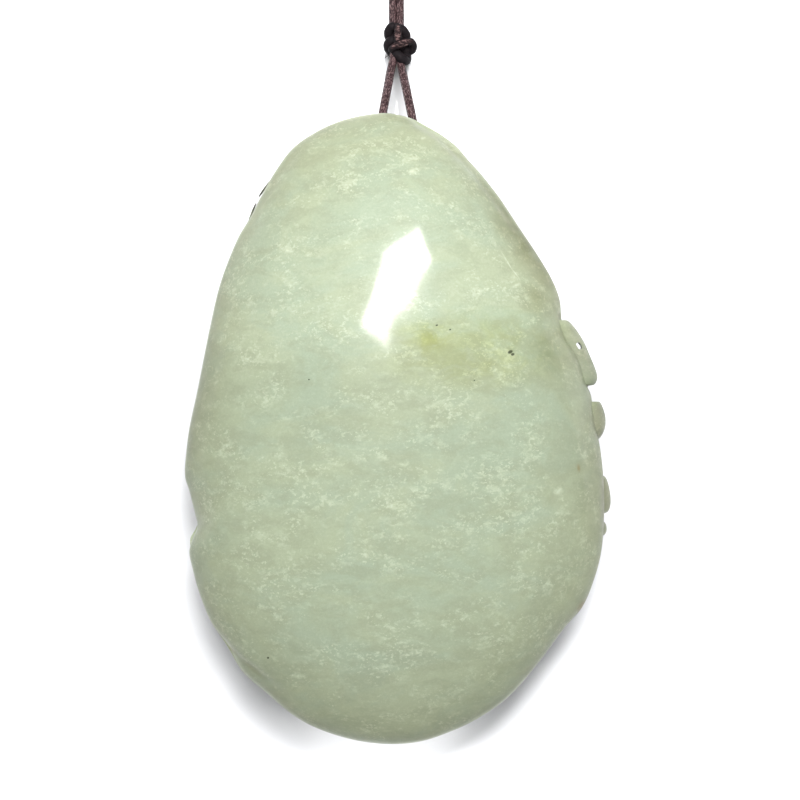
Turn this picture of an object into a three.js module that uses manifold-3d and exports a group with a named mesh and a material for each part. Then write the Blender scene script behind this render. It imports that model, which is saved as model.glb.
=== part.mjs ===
// Jade fish pendant on a knotted brown cord, lying on its carved face.
// Millimetres. +Z is up from the table, +Y points to the cord, +X is to the right as the smooth back is seen.

import * as THREE from "three";
import { ParametricGeometry } from "three/addons/geometries/ParametricGeometry.js";
import { mergeVertices } from "three/addons/utils/BufferGeometryUtils.js";
import Module from "manifold-3d";

const wasm = await Module();
wasm.setup();

// Driving sizes of the stone
const girdleHeight = 10.5; // the widest line of the stone above the table
const domeHeight = 11.5; // smooth back above the girdle
const groundDepth = 6.6; // sunk ground of the carved face below the girdle, at its deepest
const lipDepth = 0.8; // straight band of the back below the girdle
const faceInset = 0.35; // the carved face stands back from the girdle by this much
const faceTop = girdleHeight - 0.2;
const stoneCentre = [-0.5, 0];
const sliver = 0.08; // facets that stand out by less than this are merged

// Outline of the smooth back, from the right edge anticlockwise
const backOutline = [
  [24.75, 0.0],
  [23.6, 5.2],
  [21.7, 10.9],
  [19.7, 17.1],
  [15.1, 25.1],
  [9.7, 31.9],
  [5.2, 36.0],
  [-1.2, 39.4],
  [-8.0, 38.2],
  [-14.0, 33.8],
  [-18.3, 27.0],
  [-22.0, 18.6],
  [-24.6, 8.6],
  [-26.1, 0.4],
  [-26.8, -5.6],
  [-25.3, -12.4],
  [-26.0, -15.8],
  [-24.4, -22.4],
  [-20.6, -28.5],
  [-14.6, -33.0],
  [-9.6, -37.6],
  [-2.0, -39.4],
  [6.4, -38.8],
  [13.6, -34.0],
  [19.6, -27.1],
  [23.4, -21.0],
  [25.3, -14.0],
  [25.6, -5.6],
];

// Where the carved face reaches out past the back: direction in degrees, reach and half width in degrees
const faceBulges = [
  { at: 77, reach: 1.4, spread: 6 },
  { at: 244, reach: 2.1, spread: 7.6 },
];

// Driving sizes of the carving
const spine = [
  [-1.4, 28.2],
  [5.2, 23.6],
  [9.8, 14.6],
  [10.2, 3.4],
  [7.0, -8.0],
  [0.6, -16.4],
  [-6.0, -20.6],
];
const fishHalfWidth = 8.3;
const dorsalEdge = [
  [15.4, 17.0],
  [19.6, 13.7],
  [20.8, 13.6],
  [21.6, 13.1],
  [22.6, 11.6],
  [24.0, 9.2],
  [24.9, 7.0],
  [25.0, 5.6],
  [23.7, 5.2],
  [24.1, 3.6],
  [25.2, 3.3],
  [26.0, 1.5],
  [25.7, -0.7],
  [24.6, -1.7],
  [24.8, -5.4],
  [26.0, -6.5],
  [26.7, -9.0],
  [26.4, -10.4],
  [25.5, -11.0],
  [26.2, -12.3],
  [25.9, -13.4],
  [24.6, -14.4],
  [20.4, -17.4],
];
const dorsalLevel = 7.2;
const dorsalHalf = 1.25;
const dorsalGap = { at: [22.5, 10.3], radius: 0.4 };
const leafCentre = [-10.2, 14.8];
const leafRadius = 11.0;
const leafVeins = 11;
const veinDepth = 0.55;
const flowerBase = [-8.6, -12.4];
const petalLength = 11.5;
const petalHalfWidth = 3.0;
const petalDirections = [196, 88, 172, 112, 142];
const waveCentres = [
  [-16.5, -29.5],
  [14.5, -28.0],
  [5.0, -37.5],
  [-7.5, -38.5],
];
const waveRadii = [2.4, 5.0, 7.6];
const waveHalfWidth = 1.2;
const beads = [
  { at: [-6.2, 31.0], radius: 2.2 },
  { at: [-11.8, 29.6], radius: 1.4 },
  { at: [19.6, -19.8], radius: 1.5 },
  { at: [-22.0, -17.6], radius: 1.5 },
];

// Driving sizes of the drilled cord hole
const holeRadius = 0.9;
const holeHalfSpacing = 1.95;
const holeMiddle = -0.12;
const holeLevel = 8.3;
const holeBend = 36.0; // Y where the straight drillings turn into the bend
const holeMouth = 37.5;

// Driving sizes of the cord
const cordRadius = 0.5;
const knotCentre = [0.15, 48.8, 2.2];
const endKnotCentre = [12.6, 78.0, 1.75];
const coilCentre = [7.0, 66.0];
const coilMeanRadius = 5.8;
const coilSectionWidth = 4.2;
const coilSectionHeight = 4.2;
const coilLift = 0.8; // the ties carry the coil this far above the table
const tieThread = 0.5;
const tieWidth = 1.5;
const tieGap = 0.3; // between the coil and the tie around it
const tieDirections = { coil_tie_left: 235, coil_tie_right: 20 };

const stoneFinish = { color: 0xb9c7a2, roughness: 0.22, metalness: 0 };
const cordFinish = { color: 0x4a3433, roughness: 0.75, metalness: 0 };
const knotFinish = { color: 0x241d20, roughness: 0.8, metalness: 0 };

// Small maths
const radians = THREE.MathUtils.degToRad;

function toward(degrees) {
  return [Math.cos(radians(degrees)), Math.sin(radians(degrees))];
}

function blend(a, b, t) {
  return a.map((value, i) => value + (b[i] - value) * t);
}

function signedPower(value, power) {
  return Math.sign(value) * Math.abs(value) ** power;
}

// A smooth line through points; t runs from 0 to 1
function smoothLine(points, closed = false) {
  const raised = points.map(([x, y, z = 0]) => new THREE.Vector3(x, y, z));
  const curve = new THREE.CatmullRomCurve3(raised, closed, "catmullrom", 0.5);
  return (t) => curve.getPoint(t).toArray();
}

// A smooth value through evenly spaced numbers
function smoothValue(numbers) {
  const line = smoothLine(numbers.map((value, i) => [i, value]));
  return (t) => line(t)[1];
}

// A closed solid from a three.js geometry
function solid(geometry) {
  geometry.deleteAttribute("normal");
  geometry.deleteAttribute("uv");
  const merged = mergeVertices(geometry, 1e-4);
  const faces = [];
  const index = merged.index.array;
  for (let i = 0; i < index.length; i += 3) {
    const [a, b, c] = index.slice(i, i + 3);
    if (a !== b && b !== c && c !== a) faces.push(a, b, c);
  }
  const vertProperties = new Float32Array(merged.attributes.position.array);
  const outward = new wasm.Mesh({ numProp: 3, vertProperties, triVerts: new Uint32Array(faces) });
  const body = new wasm.Manifold(outward);
  if (body.volume() > 0) return body;
  const turned = new wasm.Mesh({ numProp: 3, vertProperties, triVerts: new Uint32Array(faces.reverse()) });
  return new wasm.Manifold(turned);
}

// A surface of two parameters from 0 to 1, closed where its edges meet
function surface(point, around, along) {
  return solid(new ParametricGeometry((u, v, target) => target.set(...point(u, v)), around, along));
}

// A closed body that spans from a left line to a right line, with an oval section and flat ends.
// low gives the height of its lowest skin over the table and half its half thickness, along the body.
// corner below 1 makes the section squarer, and carve raises (positive) or lowers the skin that faces down.
function loft({ left, right, low, half, corner = 0.8, carve = () => 0, around = 12, along = 16 }) {
  return surface(
    (u, v) => {
      const t = Math.min(Math.max((v * (along + 2) - 1) / along, 0), 1);
      const open = v > 0 && v < 1 ? 1 : 0;
      const [leftX, leftY] = left(t);
      const [rightX, rightY] = right(t);
      const across = 0.5 + 0.5 * open * signedPower(Math.cos(2 * Math.PI * u), corner);
      const x = leftX + (rightX - leftX) * across;
      const y = leftY + (rightY - leftY) * across;
      const up = open * signedPower(Math.sin(2 * Math.PI * u), corner);
      return [x, y, low(t, x, y) + half(t) * (1 + up) + (up < 0 ? -up * carve(x, y, t) : 0)];
    },
    around,
    along + 2,
  );
}

// The two sides of a band of changing half width along a line
function sides(line, halfWidth) {
  const step = 0.005;
  const edge = (t, side) => {
    const [x, y] = line(t);
    const ahead = line(Math.min(t + step, 1));
    const behind = line(Math.max(t - step, 0));
    const run = Math.hypot(ahead[0] - behind[0], ahead[1] - behind[1]);
    const reach = (side * halfWidth(t)) / run;
    return [x - (ahead[1] - behind[1]) * reach, y + (ahead[0] - behind[0]) * reach];
  };
  return { left: (t) => edge(t, 1), right: (t) => edge(t, -1) };
}

// The stone's body
const backEdge = smoothLine(backOutline, true);

function faceEdge(t) {
  const [x, y] = backEdge(t);
  const offset = [x - stoneCentre[0], y - stoneCentre[1]];
  const distance = Math.hypot(...offset);
  const direction = THREE.MathUtils.radToDeg(Math.atan2(offset[1], offset[0]));
  const reach = faceBulges.reduce((sum, bulge) => {
    const turn = ((direction - bulge.at + 540) % 360) - 180;
    return sum + bulge.reach * Math.exp(-((turn / bulge.spread) ** 2));
  }, -faceInset);
  return blend(stoneCentre, [x, y], 1 + reach / distance);
}

// The same outline with its small steps smoothed away
function calmEdge(edge, t) {
  const reach = 5;
  const spacing = 0.011;
  const sum = [0, 0];
  for (let i = -reach; i <= reach; i += 1) {
    const [x, y] = edge((t + 1 + i * spacing) % 1);
    sum[0] += x / (2 * reach + 1);
    sum[1] += y / (2 * reach + 1);
  }
  return sum;
}

// A body of rings inside an outline; each ring has a scale of the outline and a height.
// The outline's small steps fade out towards the centre.
function ringBody(edge, rings, around) {
  return surface(
    (u, v) => {
      const [scale, height] = rings[Math.round(v * (rings.length - 1))];
      const outline = blend(calmEdge(edge, u % 1), edge(u % 1), scale ** 9);
      const [x, y] = blend(stoneCentre, outline, scale);
      return [x, y, height];
    },
    around,
    rings.length - 1,
  );
}

function back() {
  const rings = [];
  const steps = 7;
  for (let i = 0; i <= steps; i += 1) {
    const scale = Math.sin(((i / steps) * Math.PI) / 2) ** 0.9;
    rings.push([scale, girdleHeight + domeHeight * Math.max(1 - scale ** 2.3, 0) ** 0.56]);
  }
  rings.push([0.985, girdleHeight - lipDepth]);
  rings.push([0, girdleHeight - lipDepth]);
  return ringBody(backEdge, rings, 60);
}

// The sunk ground is a shallow bowl turned over; scale is 0 at the centre and 1 at the edge
function groundAt(scale) {
  return faceTop - groundDepth * Math.max(1 - scale ** 3, 0) ** 0.6;
}

// The skin of the pebble that the carving was cut from
function skinAt(scale) {
  return faceTop - (faceTop + 0.5) * Math.max(1 - scale ** 5, 0) ** 0.5;
}

function faceBody(heightAt, scales, around) {
  const rings = scales.map((scale) => [scale, heightAt(scale)]);
  return ringBody(faceEdge, [...rings, [0, faceTop]], around);
}

// Distance of a place from the stone's centre, as a share of the way to the face's edge
const edgeSamples = Array.from({ length: 240 }, (_, i) => {
  const [x, y] = faceEdge(i / 240);
  return [Math.atan2(y - stoneCentre[1], x - stoneCentre[0]), Math.hypot(x - stoneCentre[0], y - stoneCentre[1])];
});

function edgeShare(x, y) {
  const direction = Math.atan2(y - stoneCentre[1], x - stoneCentre[0]);
  const apart = ([angle]) => Math.abs(Math.atan2(Math.sin(angle - direction), Math.cos(angle - direction)));
  const nearest = edgeSamples.reduce((best, sample) => (apart(sample) < apart(best) ? sample : best));
  return Math.hypot(x - stoneCentre[0], y - stoneCentre[1]) / nearest[1];
}

// Height of the ground at a place, less a rise of the relief over it
function overGround(x, y, rise) {
  return groundAt(Math.min(edgeShare(x, y), 1)) - rise;
}

// The carp
const spineLine = smoothLine(spine);
const fishShare = smoothValue([0.16, 0.5, 0.77, 0.94, 1.0, 0.96, 0.83, 0.65, 0.46, 0.32, 0.26]);
const fishHalf = smoothValue([1.2, 3.0, 4.2, 4.9, 5.2, 5.1, 4.6, 3.9, 3.2, 2.7, 2.4]);
const fishLow = smoothValue([3.0, 1.5, 0.8, 0.5, 0.1, -0.4, -0.4, 0.3, 1.1, 1.7, 1.9]);
const fishSides = sides(spineLine, (t) => fishHalfWidth * fishShare(t));

function fish() {
  return loft({ ...fishSides, low: fishLow, half: fishHalf, corner: 0.9, around: 10, along: 14 });
}

// A raised ridge along a line, rising over the flank or the ground
function ridge(points, halfWidth, low, half, along = 6) {
  const width = (t) => halfWidth * Math.sqrt(1.02 - (2 * t - 1) ** 4);
  return loft({ ...sides(smoothLine(points), width), low, half: () => half, corner: 1, around: 6, along });
}

function gill() {
  return ridge([[-0.8, 20.6], [2.4, 16.6], [7.6, 15.2], [13.4, 17.6]], 0.7, () => 0.05, 1.5);
}

function lips() {
  const upper = ridge([[-2.6, 29.6], [-0.9, 29.2], [0.9, 28.6]], 0.75, () => 2.3, 1.6, 5);
  const lower = ridge([[-3.4, 27.8], [-1.6, 26.8], [-0.3, 25.6]], 0.75, () => 2.3, 1.6, 5);
  return upper.add(lower);
}

function barbel() {
  const line = [[-1.8, 26.6], [-4.2, 25.6], [-5.6, 27.4], [-7.8, 26.6]];
  return ridge(line, 0.5, (t, x, y) => overGround(x, y, 2.6), 1.6);
}

function eye() {
  return bead({ at: [4.6, 21.8], radius: 1.35 }, 1.75);
}

function bead({ at, radius }, level = overGround(...at, 0.6)) {
  const ball = new THREE.SphereGeometry(radius, 8, 6);
  ball.translate(at[0], at[1], level);
  return solid(ball);
}

// A ribbed fan, such as a tail or a fin
function fan({ root, from, to, reach, ribs, low, half }) {
  const spoke = (t, distance) => {
    const [x, y] = toward(from + (to - from) * t);
    return [root[0] + x * distance, root[1] + y * distance];
  };
  const rib = (t) => 0.82 + 0.18 * Math.cos(2 * Math.PI * ribs * t);
  return loft({
    left: (t) => spoke(t, 0.5),
    right: (t) => spoke(t, reach(t) * (0.96 + 0.04 * rib(t))),
    low: (t, x, y) => low(x, y) + half * (1 - rib(t)),
    half: (t) => half * rib(t),
    around: 6,
    along: ribs * 2,
  });
}

function tail() {
  const reach = smoothValue([14.0, 15.5, 13.0, 9.4, 8.6, 10.4, 14.0, 15.0, 13.0]);
  const low = (x, y) => overGround(x, y, 3.4);
  return fan({ root: [-5.4, -20.4], from: 172, to: 300, reach, ribs: 9, low, half: 2.6 });
}

function pectoralFin() {
  const reach = smoothValue([9.5, 11.0, 10.0, 8.0, 5.5]);
  return fan({ root: [5.4, 12.6], from: 196, to: 262, reach, ribs: 6, low: () => 0.25, half: 1.9 });
}

function bellyFin() {
  const reach = smoothValue([8.5, 9.0, 8.0, 6.0]);
  const low = (x, y) => overGround(x, y, 2.6);
  return fan({ root: [2.6, -3.4], from: 176, to: 236, reach, ribs: 5, low, half: 1.8 });
}

function dorsalFin() {
  const ribs = 11;
  const root = sides(spineLine, (t) => 0.6 * fishHalfWidth * fishShare(t)).left;
  return loft({
    left: (t) => root(0.17 + 0.5 * t),
    right: smoothLine(dorsalEdge),
    low: (t) => dorsalLevel - dorsalHalf * (0.88 + 0.12 * Math.cos(2 * Math.PI * ribs * t)),
    half: () => dorsalHalf,
    corner: 0.6,
    around: 6,
    along: 44,
  });
}

// The lotus leaf and its stem, the flower and the waves
function leaf() {
  const chord = (t) => Math.sqrt(Math.max(1 - (2 * t - 1) ** 2, 0.0004));
  const wave = (t, side) => 1 + 0.06 * Math.cos(9 * Math.PI * t + side);
  const edge = (t, side) => [
    leafCentre[0] + side * leafRadius * chord(t) * wave(t, side),
    leafCentre[1] + leafRadius * 1.12 * (2 * t - 1),
  ];
  const turn = (t) => (1 - Math.cos(Math.PI * t)) / 2;
  return loft({
    left: (t) => edge(turn(t), -1),
    right: (t) => edge(turn(t), 1),
    low: (t, x, y) => overGround(x, y, 3.3),
    half: () => 2.2,
    corner: 0.55,
    carve: leafRelief,
    around: 16,
    along: 10,
  });
}

// The leaf is a shallow dish with a rolled rim and raised veins; positive is a deeper cut
function leafRelief(x, y) {
  const across = (x - leafCentre[0]) / leafRadius;
  const along = (y - leafCentre[1]) / (leafRadius * 1.12);
  const distance = Math.hypot(across, along);
  const dish = 1.8 * Math.max(1 - (distance / 0.8) ** 2, 0);
  const veins = Math.abs(Math.cos((leafVeins * Math.atan2(along, across)) / 2)) ** 8;
  return dish - 1.1 - veinDepth * veins * Math.min(distance * 2, 1);
}

function stem() {
  const line = [[-14.6, 4.6], [-20.4, 1.6], [-22.4, -4.6], [-20.6, -11.6], [-15.0, -17.0], [-8.0, -19.6]];
  return ridge(line, 1.3, (t, x, y) => overGround(x, y, 1.7), 1.7, 10);
}

// The thin stalk that stands clear of the upper left edge
function edgeStalk() {
  const line = [[-13.7, 31.6], [-16.4, 30.2], [-17.6, 28.4], [-18.45, 26.4], [-18.5, 22.6]];
  return ridge(line, 0.25, () => 7.9, 0.7, 8);
}

function petal(direction, order) {
  const [x, y] = toward(direction);
  const tip = [flowerBase[0] + petalLength * x, flowerBase[1] + petalLength * y];
  const share = smoothValue([0.35, 0.78, 1.0, 0.92, 0.6, 0.06]);
  return loft({
    ...sides((t) => blend(flowerBase, tip, t), (t) => petalHalfWidth * Math.max(share(t), 0.03)),
    low: (t, px, py) => overGround(px, py, 3.1 + 0.36 * order) + 0.7 * t,
    half: (t) => 0.5 + 1.9 * Math.sin(Math.PI * (0.1 + 0.8 * t)),
    around: 6,
    along: 6,
  });
}

function wave(centre, radius) {
  const line = [0, 0.25, 0.5, 0.75, 1].map((t) => {
    const [x, y] = toward(8 + 164 * t);
    return [centre[0] + radius * x, centre[1] + radius * y];
  });
  return ridge(line, waveHalfWidth, (t, x, y) => overGround(x, y, 3.6 - 0.22 * radius), 2.2, 4);
}

function waves() {
  return waveCentres.flatMap((centre) => waveRadii.map((radius) => wave(centre, radius)));
}

// The drilled hole: two straight drillings that meet in a bend
function holeLine(reach) {
  const points = [[holeMiddle - holeHalfSpacing, reach, holeLevel]];
  for (let degrees = 180; degrees <= 360; degrees += 22.5) {
    const [x, y] = toward(degrees);
    points.push([holeMiddle + holeHalfSpacing * x, holeBend + holeHalfSpacing * y, holeLevel]);
  }
  points.push([holeMiddle + holeHalfSpacing, reach, holeLevel]);
  return points;
}

// A round tube of straight-cut ends along a smooth line through points
function tubeGeometry(points, radius, edges, steps) {
  const path = new THREE.CatmullRomCurve3(points.map((p) => new THREE.Vector3(...p)));
  const section = new THREE.Shape();
  for (let i = 0; i < edges; i += 1) {
    const [x, y] = toward((360 * i) / edges);
    if (i === 0) section.moveTo(radius * x, radius * y);
    else section.lineTo(radius * x, radius * y);
  }
  return new THREE.ExtrudeGeometry(section, { extrudePath: path, steps, bevelEnabled: false });
}

function joined(pieces) {
  return pieces.reduce((sum, piece) => sum.add(piece));
}

function stone() {
  const plants = [leaf(), stem(), ...petalDirections.map(petal), ...waves()];
  const carp = [fish(), gill(), lips(), barbel(), eye(), tail(), pectoralFin(), bellyFin()];
  const relief = joined([...plants, ...carp, ...beads.map((item) => bead(item))]);
  const ground = faceBody(groundAt, [0, 0.6, 0.85, 0.96, 1], 60);
  const skin = faceBody(skinAt, [0, 0.65, 0.82, 0.93, 1], 30);
  const whole = joined([back(), ground, relief.intersect(skin), dorsalFin(), edgeStalk()]);
  const gap = new THREE.CylinderGeometry(dorsalGap.radius, dorsalGap.radius, 12, 10);
  gap.rotateX(Math.PI / 2);
  gap.translate(...dorsalGap.at, dorsalLevel - 2.5);
  const table = new THREE.BoxGeometry(80, 100, 20);
  table.translate(0, 0, -10);
  const hole = solid(tubeGeometry(holeLine(42), holeRadius, 8, 16));
  return outerShell(whole.subtract(hole).subtract(solid(gap)).subtract(solid(table)));
}

// The outer shell alone, so that pockets closed in between the forms are solid stone
function outerShell(body) {
  const shells = body.simplify(sliver).decompose();
  return shells.reduce((most, shell) => (shell.volume() > most.volume() ? shell : most));
}

// The cord's own solids
function cordRoute(side) {
  const x = holeMiddle + side * holeHalfSpacing;
  const points = [];
  for (let degrees = 4.5; degrees <= 90; degrees += 17.1) {
    const [down, out] = toward(degrees);
    points.push([holeMiddle + side * holeHalfSpacing * out, holeBend - holeHalfSpacing * down, holeLevel]);
  }
  points.push([x, holeMouth, holeLevel]);
  const knotX = -0.28 + side * 0.46;
  points.push([x * 0.98, 39.4, holeLevel - 0.25]);
  points.push(blend([x, 41.4, 7.2], [knotX, 41.4, 7.2], 0.2));
  points.push(blend([x, 43.6, 5.0], [knotX, 43.6, 5.0], 0.55));
  points.push([knotX + side * 0.1, 45.3, 3.1]);
  return points;
}

function leadRoute(side) {
  return [
    [-0.32 + side * 0.5, 51.95, 2.1],
    [-0.32 + side * 0.52, 54.0, 1.4],
    [-0.34 + side * 0.48, 56.4, 1.55 + side * 0.2],
    [-0.38 + side * 0.3, 58.6, 1.75 + side * 0.4],
  ];
}

function ringKnot(centre, loops) {
  return loops
    .map(({ at, wide, tall, slant, thick }) =>
      surface(
        (u, v) => {
          const turn = 2 * Math.PI * v;
          const roll = 2 * Math.PI * u;
          const out = thick * Math.cos(roll);
          return [
            centre[0] + at[0] + (wide + out) * Math.cos(turn),
            centre[1] + at[1] + slant * Math.cos(turn) + thick * Math.sin(roll),
            centre[2] + at[2] + (tall + out) * Math.sin(turn),
          ];
        },
        6,
        9,
      ),
    )
    .reduce((sum, loop) => sum.add(loop));
}

const pendantKnotLoops = [
  { at: [-0.32, 1.85, 0], wide: 1.04, tall: 1.1, slant: -0.12, thick: 0.74 },
  { at: [0.02, 0.05, 0], wide: 1.34, tall: 1.4, slant: 0.42, thick: 0.8 },
  { at: [0.12, -1.75, 0], wide: 0.96, tall: 1.05, slant: -0.28, thick: 0.78 },
];
const endKnotLoops = [
  { at: [0, 0.75, 0], wide: 1.0, tall: 0.85, slant: 0.3, thick: 0.7 },
  { at: [0, -0.75, 0], wide: 1.05, tall: 0.9, slant: -0.2, thick: 0.72 },
];

function coil() {
  const half = coilSectionWidth / 2;
  const inner = coilMeanRadius - half;
  const outer = coilMeanRadius + half;
  const top = coilLift + coilSectionHeight;
  const soft = 0.45;
  const profile = [
    [inner, coilLift + soft],
    [inner + soft, coilLift],
    [outer - soft, coilLift],
    [outer, coilLift + soft],
    [outer, top - soft],
    [outer - soft, top],
    [inner + soft, top],
    [inner, top - soft],
    [inner, coilLift + soft],
  ].map(([x, y]) => new THREE.Vector2(x, y));
  const ring = new THREE.LatheGeometry(profile, 24);
  ring.rotateX(Math.PI / 2);
  ring.translate(coilCentre[0], coilCentre[1], 0);
  return ring;
}

function tie(direction) {
  const innerWide = coilSectionWidth / 2 + tieGap;
  const innerTop = coilLift + coilSectionHeight + tieGap;
  const window = new THREE.Path();
  window.moveTo(-innerWide, tieThread);
  window.lineTo(innerWide, tieThread);
  window.lineTo(innerWide, innerTop);
  window.lineTo(-innerWide, innerTop);
  const band = new THREE.Shape();
  const outerWide = innerWide + tieThread;
  const corner = 0.4;
  band.moveTo(-outerWide + corner, 0);
  band.lineTo(outerWide - corner, 0);
  band.lineTo(outerWide, corner);
  band.lineTo(outerWide, innerTop + tieThread - corner);
  band.lineTo(outerWide - corner, innerTop + tieThread);
  band.lineTo(-outerWide + corner, innerTop + tieThread);
  band.lineTo(-outerWide, innerTop + tieThread - corner);
  band.lineTo(-outerWide, corner);
  band.holes.push(window);
  const geometry = new THREE.ExtrudeGeometry(band, { depth: tieWidth, bevelEnabled: false });
  geometry.translate(0, 0, -tieWidth / 2);
  geometry.rotateX(Math.PI / 2);
  geometry.translate(coilMeanRadius, 0, 0);
  geometry.rotateZ(radians(direction));
  geometry.translate(coilCentre[0], coilCentre[1], 0);
  return geometry;
}

function tailRoute(side) {
  return [
    [4.4 - side * 0.15, 74.55 + side * 0.3, 4.2 + side * 0.35],
    [6.4 - side * 0.3, 75.6 + side * 0.45, 3.0 + side * 0.2],
    [8.6 - side * 0.35, 76.5 + side * 0.5, 1.9],
    [10.4 - side * 0.3, 77.2 + side * 0.5, 1.6],
  ];
}

// The object
function geometryOf(body) {
  const mesh = body.getMesh();
  const geometry = new THREE.BufferGeometry();
  geometry.setAttribute("position", new THREE.BufferAttribute(new Float32Array(mesh.vertProperties), 3));
  geometry.setIndex(new THREE.BufferAttribute(new Uint32Array(mesh.triVerts), 1));
  return geometry;
}

const pendant = new THREE.Group();

function addPiece(name, geometry, finish) {
  const piece = new THREE.Mesh(geometry, new THREE.MeshStandardMaterial(finish));
  piece.name = name;
  pendant.add(piece);
}

addPiece("jade_pendant", geometryOf(stone()), stoneFinish);
for (const [name, side] of [["left", -1], ["right", 1]]) {
  addPiece(`cord_${name}`, tubeGeometry(cordRoute(side), cordRadius, 8, 10), cordFinish);
  addPiece(`lead_${name}`, tubeGeometry(leadRoute(side), cordRadius, 8, 3), cordFinish);
  addPiece(`tail_${name}`, tubeGeometry(tailRoute(side), cordRadius, 8, 4), cordFinish);
}
addPiece("pendant_knot", geometryOf(ringKnot(knotCentre, pendantKnotLoops)), knotFinish);
addPiece("end_knot", geometryOf(ringKnot(endKnotCentre, endKnotLoops)), knotFinish);
addPiece("cord_coil", coil(), cordFinish);
for (const [name, direction] of Object.entries(tieDirections)) {
  addPiece(name, tie(direction), knotFinish);
}

export default pendant;
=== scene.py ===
"""Looks of a jade fish pendant on a knotted brown cord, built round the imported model.

The stone lies on its carved face with its smooth back up. Every length in the functions is in
millimetres in the row frame, and a mesh is scaled to metres when it is made.
"""

import math

import bpy
import numpy as np
from bpy.props import FloatProperty, FloatVectorProperty, IntProperty, PointerProperty
from bpy.types import Operator, Panel, PropertyGroup
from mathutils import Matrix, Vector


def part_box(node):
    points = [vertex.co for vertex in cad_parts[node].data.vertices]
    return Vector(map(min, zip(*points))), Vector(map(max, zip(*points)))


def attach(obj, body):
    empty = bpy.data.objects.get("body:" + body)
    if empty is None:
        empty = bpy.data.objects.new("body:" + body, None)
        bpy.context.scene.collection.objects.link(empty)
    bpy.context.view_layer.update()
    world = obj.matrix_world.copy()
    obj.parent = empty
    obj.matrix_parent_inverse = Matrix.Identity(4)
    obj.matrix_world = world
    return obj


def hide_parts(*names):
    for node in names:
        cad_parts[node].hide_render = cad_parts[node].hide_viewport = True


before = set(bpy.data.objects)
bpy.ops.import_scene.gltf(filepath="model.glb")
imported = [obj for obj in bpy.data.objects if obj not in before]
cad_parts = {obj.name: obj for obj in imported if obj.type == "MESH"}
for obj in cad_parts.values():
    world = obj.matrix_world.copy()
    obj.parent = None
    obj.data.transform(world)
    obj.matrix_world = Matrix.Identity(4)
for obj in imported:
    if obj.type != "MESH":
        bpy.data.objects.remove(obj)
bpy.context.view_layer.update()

bl_info = {
    "name": "Jade fish pendant",
    "version": (1, 0, 0),
    "blender": (4, 5, 0),
    "location": "3D View > Sidebar > Pendant",
    "description": "A carved jade pebble on a knotted cord, with its stage",
    "category": "Add Mesh",
}

MILLIMETRE = 0.001

# The stone's body
GIRDLE_HEIGHT = 10.5
DOME_HEIGHT = 11.5
GROUND_DEPTH = 6.6
FACE_INSET = 0.35
FACE_TOP = GIRDLE_HEIGHT - 0.2
STONE_CENTRE = np.array([-0.5, 0.0])
BACK_OUTLINE = np.array([
    [24.6, 0.0], [24.15, 3.1], [24.0, 4.1], [23.5, 5.4], [22.9, 7.9], [22.0, 9.8], [20.95, 11.4],
    [20.35, 13.4], [20.1, 16.0], [19.1, 18.6], [17.4, 21.5], [15.15, 24.9], [13.05, 28.1],
    [11.55, 30.15], [10.15, 31.9], [8.95, 33.2], [8.05, 34.25], [7.15, 35.25], [5.6, 36.45],
    [3.7, 37.6], [1.4, 38.75], [-1.4, 39.35], [-4.2, 39.15], [-7.3, 38.4], [-10.4, 37.0],
    [-13.3, 34.95], [-15.45, 32.1], [-17.25, 28.95], [-18.55, 26.4], [-20.3, 23.4], [-22.3, 18.2],
    [-23.5, 13.2], [-24.4, 8.7], [-25.3, 4.2], [-26.2, 0.0], [-26.65, -3.6], [-26.75, -6.0],
    [-26.2, -7.9], [-25.6, -10.3], [-25.2, -12.3], [-25.75, -13.7], [-26.2, -15.5],
    [-25.8, -17.6], [-24.9, -20.8], [-23.5, -24.2], [-21.5, -27.2], [-19.5, -30.5],
    [-16.7, -33.0], [-13.5, -35.7], [-10.3, -37.5], [-6.0, -38.9], [-1.6, -39.5], [2.6, -39.2],
    [6.8, -37.8], [10.3, -36.05], [13.8, -33.5], [17.25, -29.6], [20.6, -25.1], [22.9, -22.4],
    [24.4, -18.9], [25.35, -15.0], [25.65, -10.0], [25.5, -5.6], [25.1, -2.2],
])
FACE_BULGES = [(208, 0.8, 2.2)]  # direction in degrees, reach and spread
# Creases in the back between the dome and a lobe of the rim, with the rim on their left: the line,
# the depth at its start and end, the width inside and outside, and the share that stays outside
CREASES = [
    ([(2.4, 37.9), (5.1, 36.1), (7.25, 33.9), (8.9, 32.25), (11.5, 29.0), (14.2, 25.2)],
     0.9, 0.5, 0.4, 0.6, 0.15),
    ([(-13.9, -33.3), (-15.7, -31.8), (-18.0, -29.9), (-19.9, -28.6), (-22.0, -26.4)],
     0.05, 0.8, 0.35, 0.8, 0.5),
    ([(-19.6, 23.4), (-17.4, 27.2), (-16.1, 29.6), (-13.2, 33.6)], 0.1, 0.2, 0.4, 0.6, 0.0),
    ([(23.1, 0.2), (23.4, 1.6), (23.5, 3.0)], 0.1, 0.1, 0.3, 0.4, 0.0),
]

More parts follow.
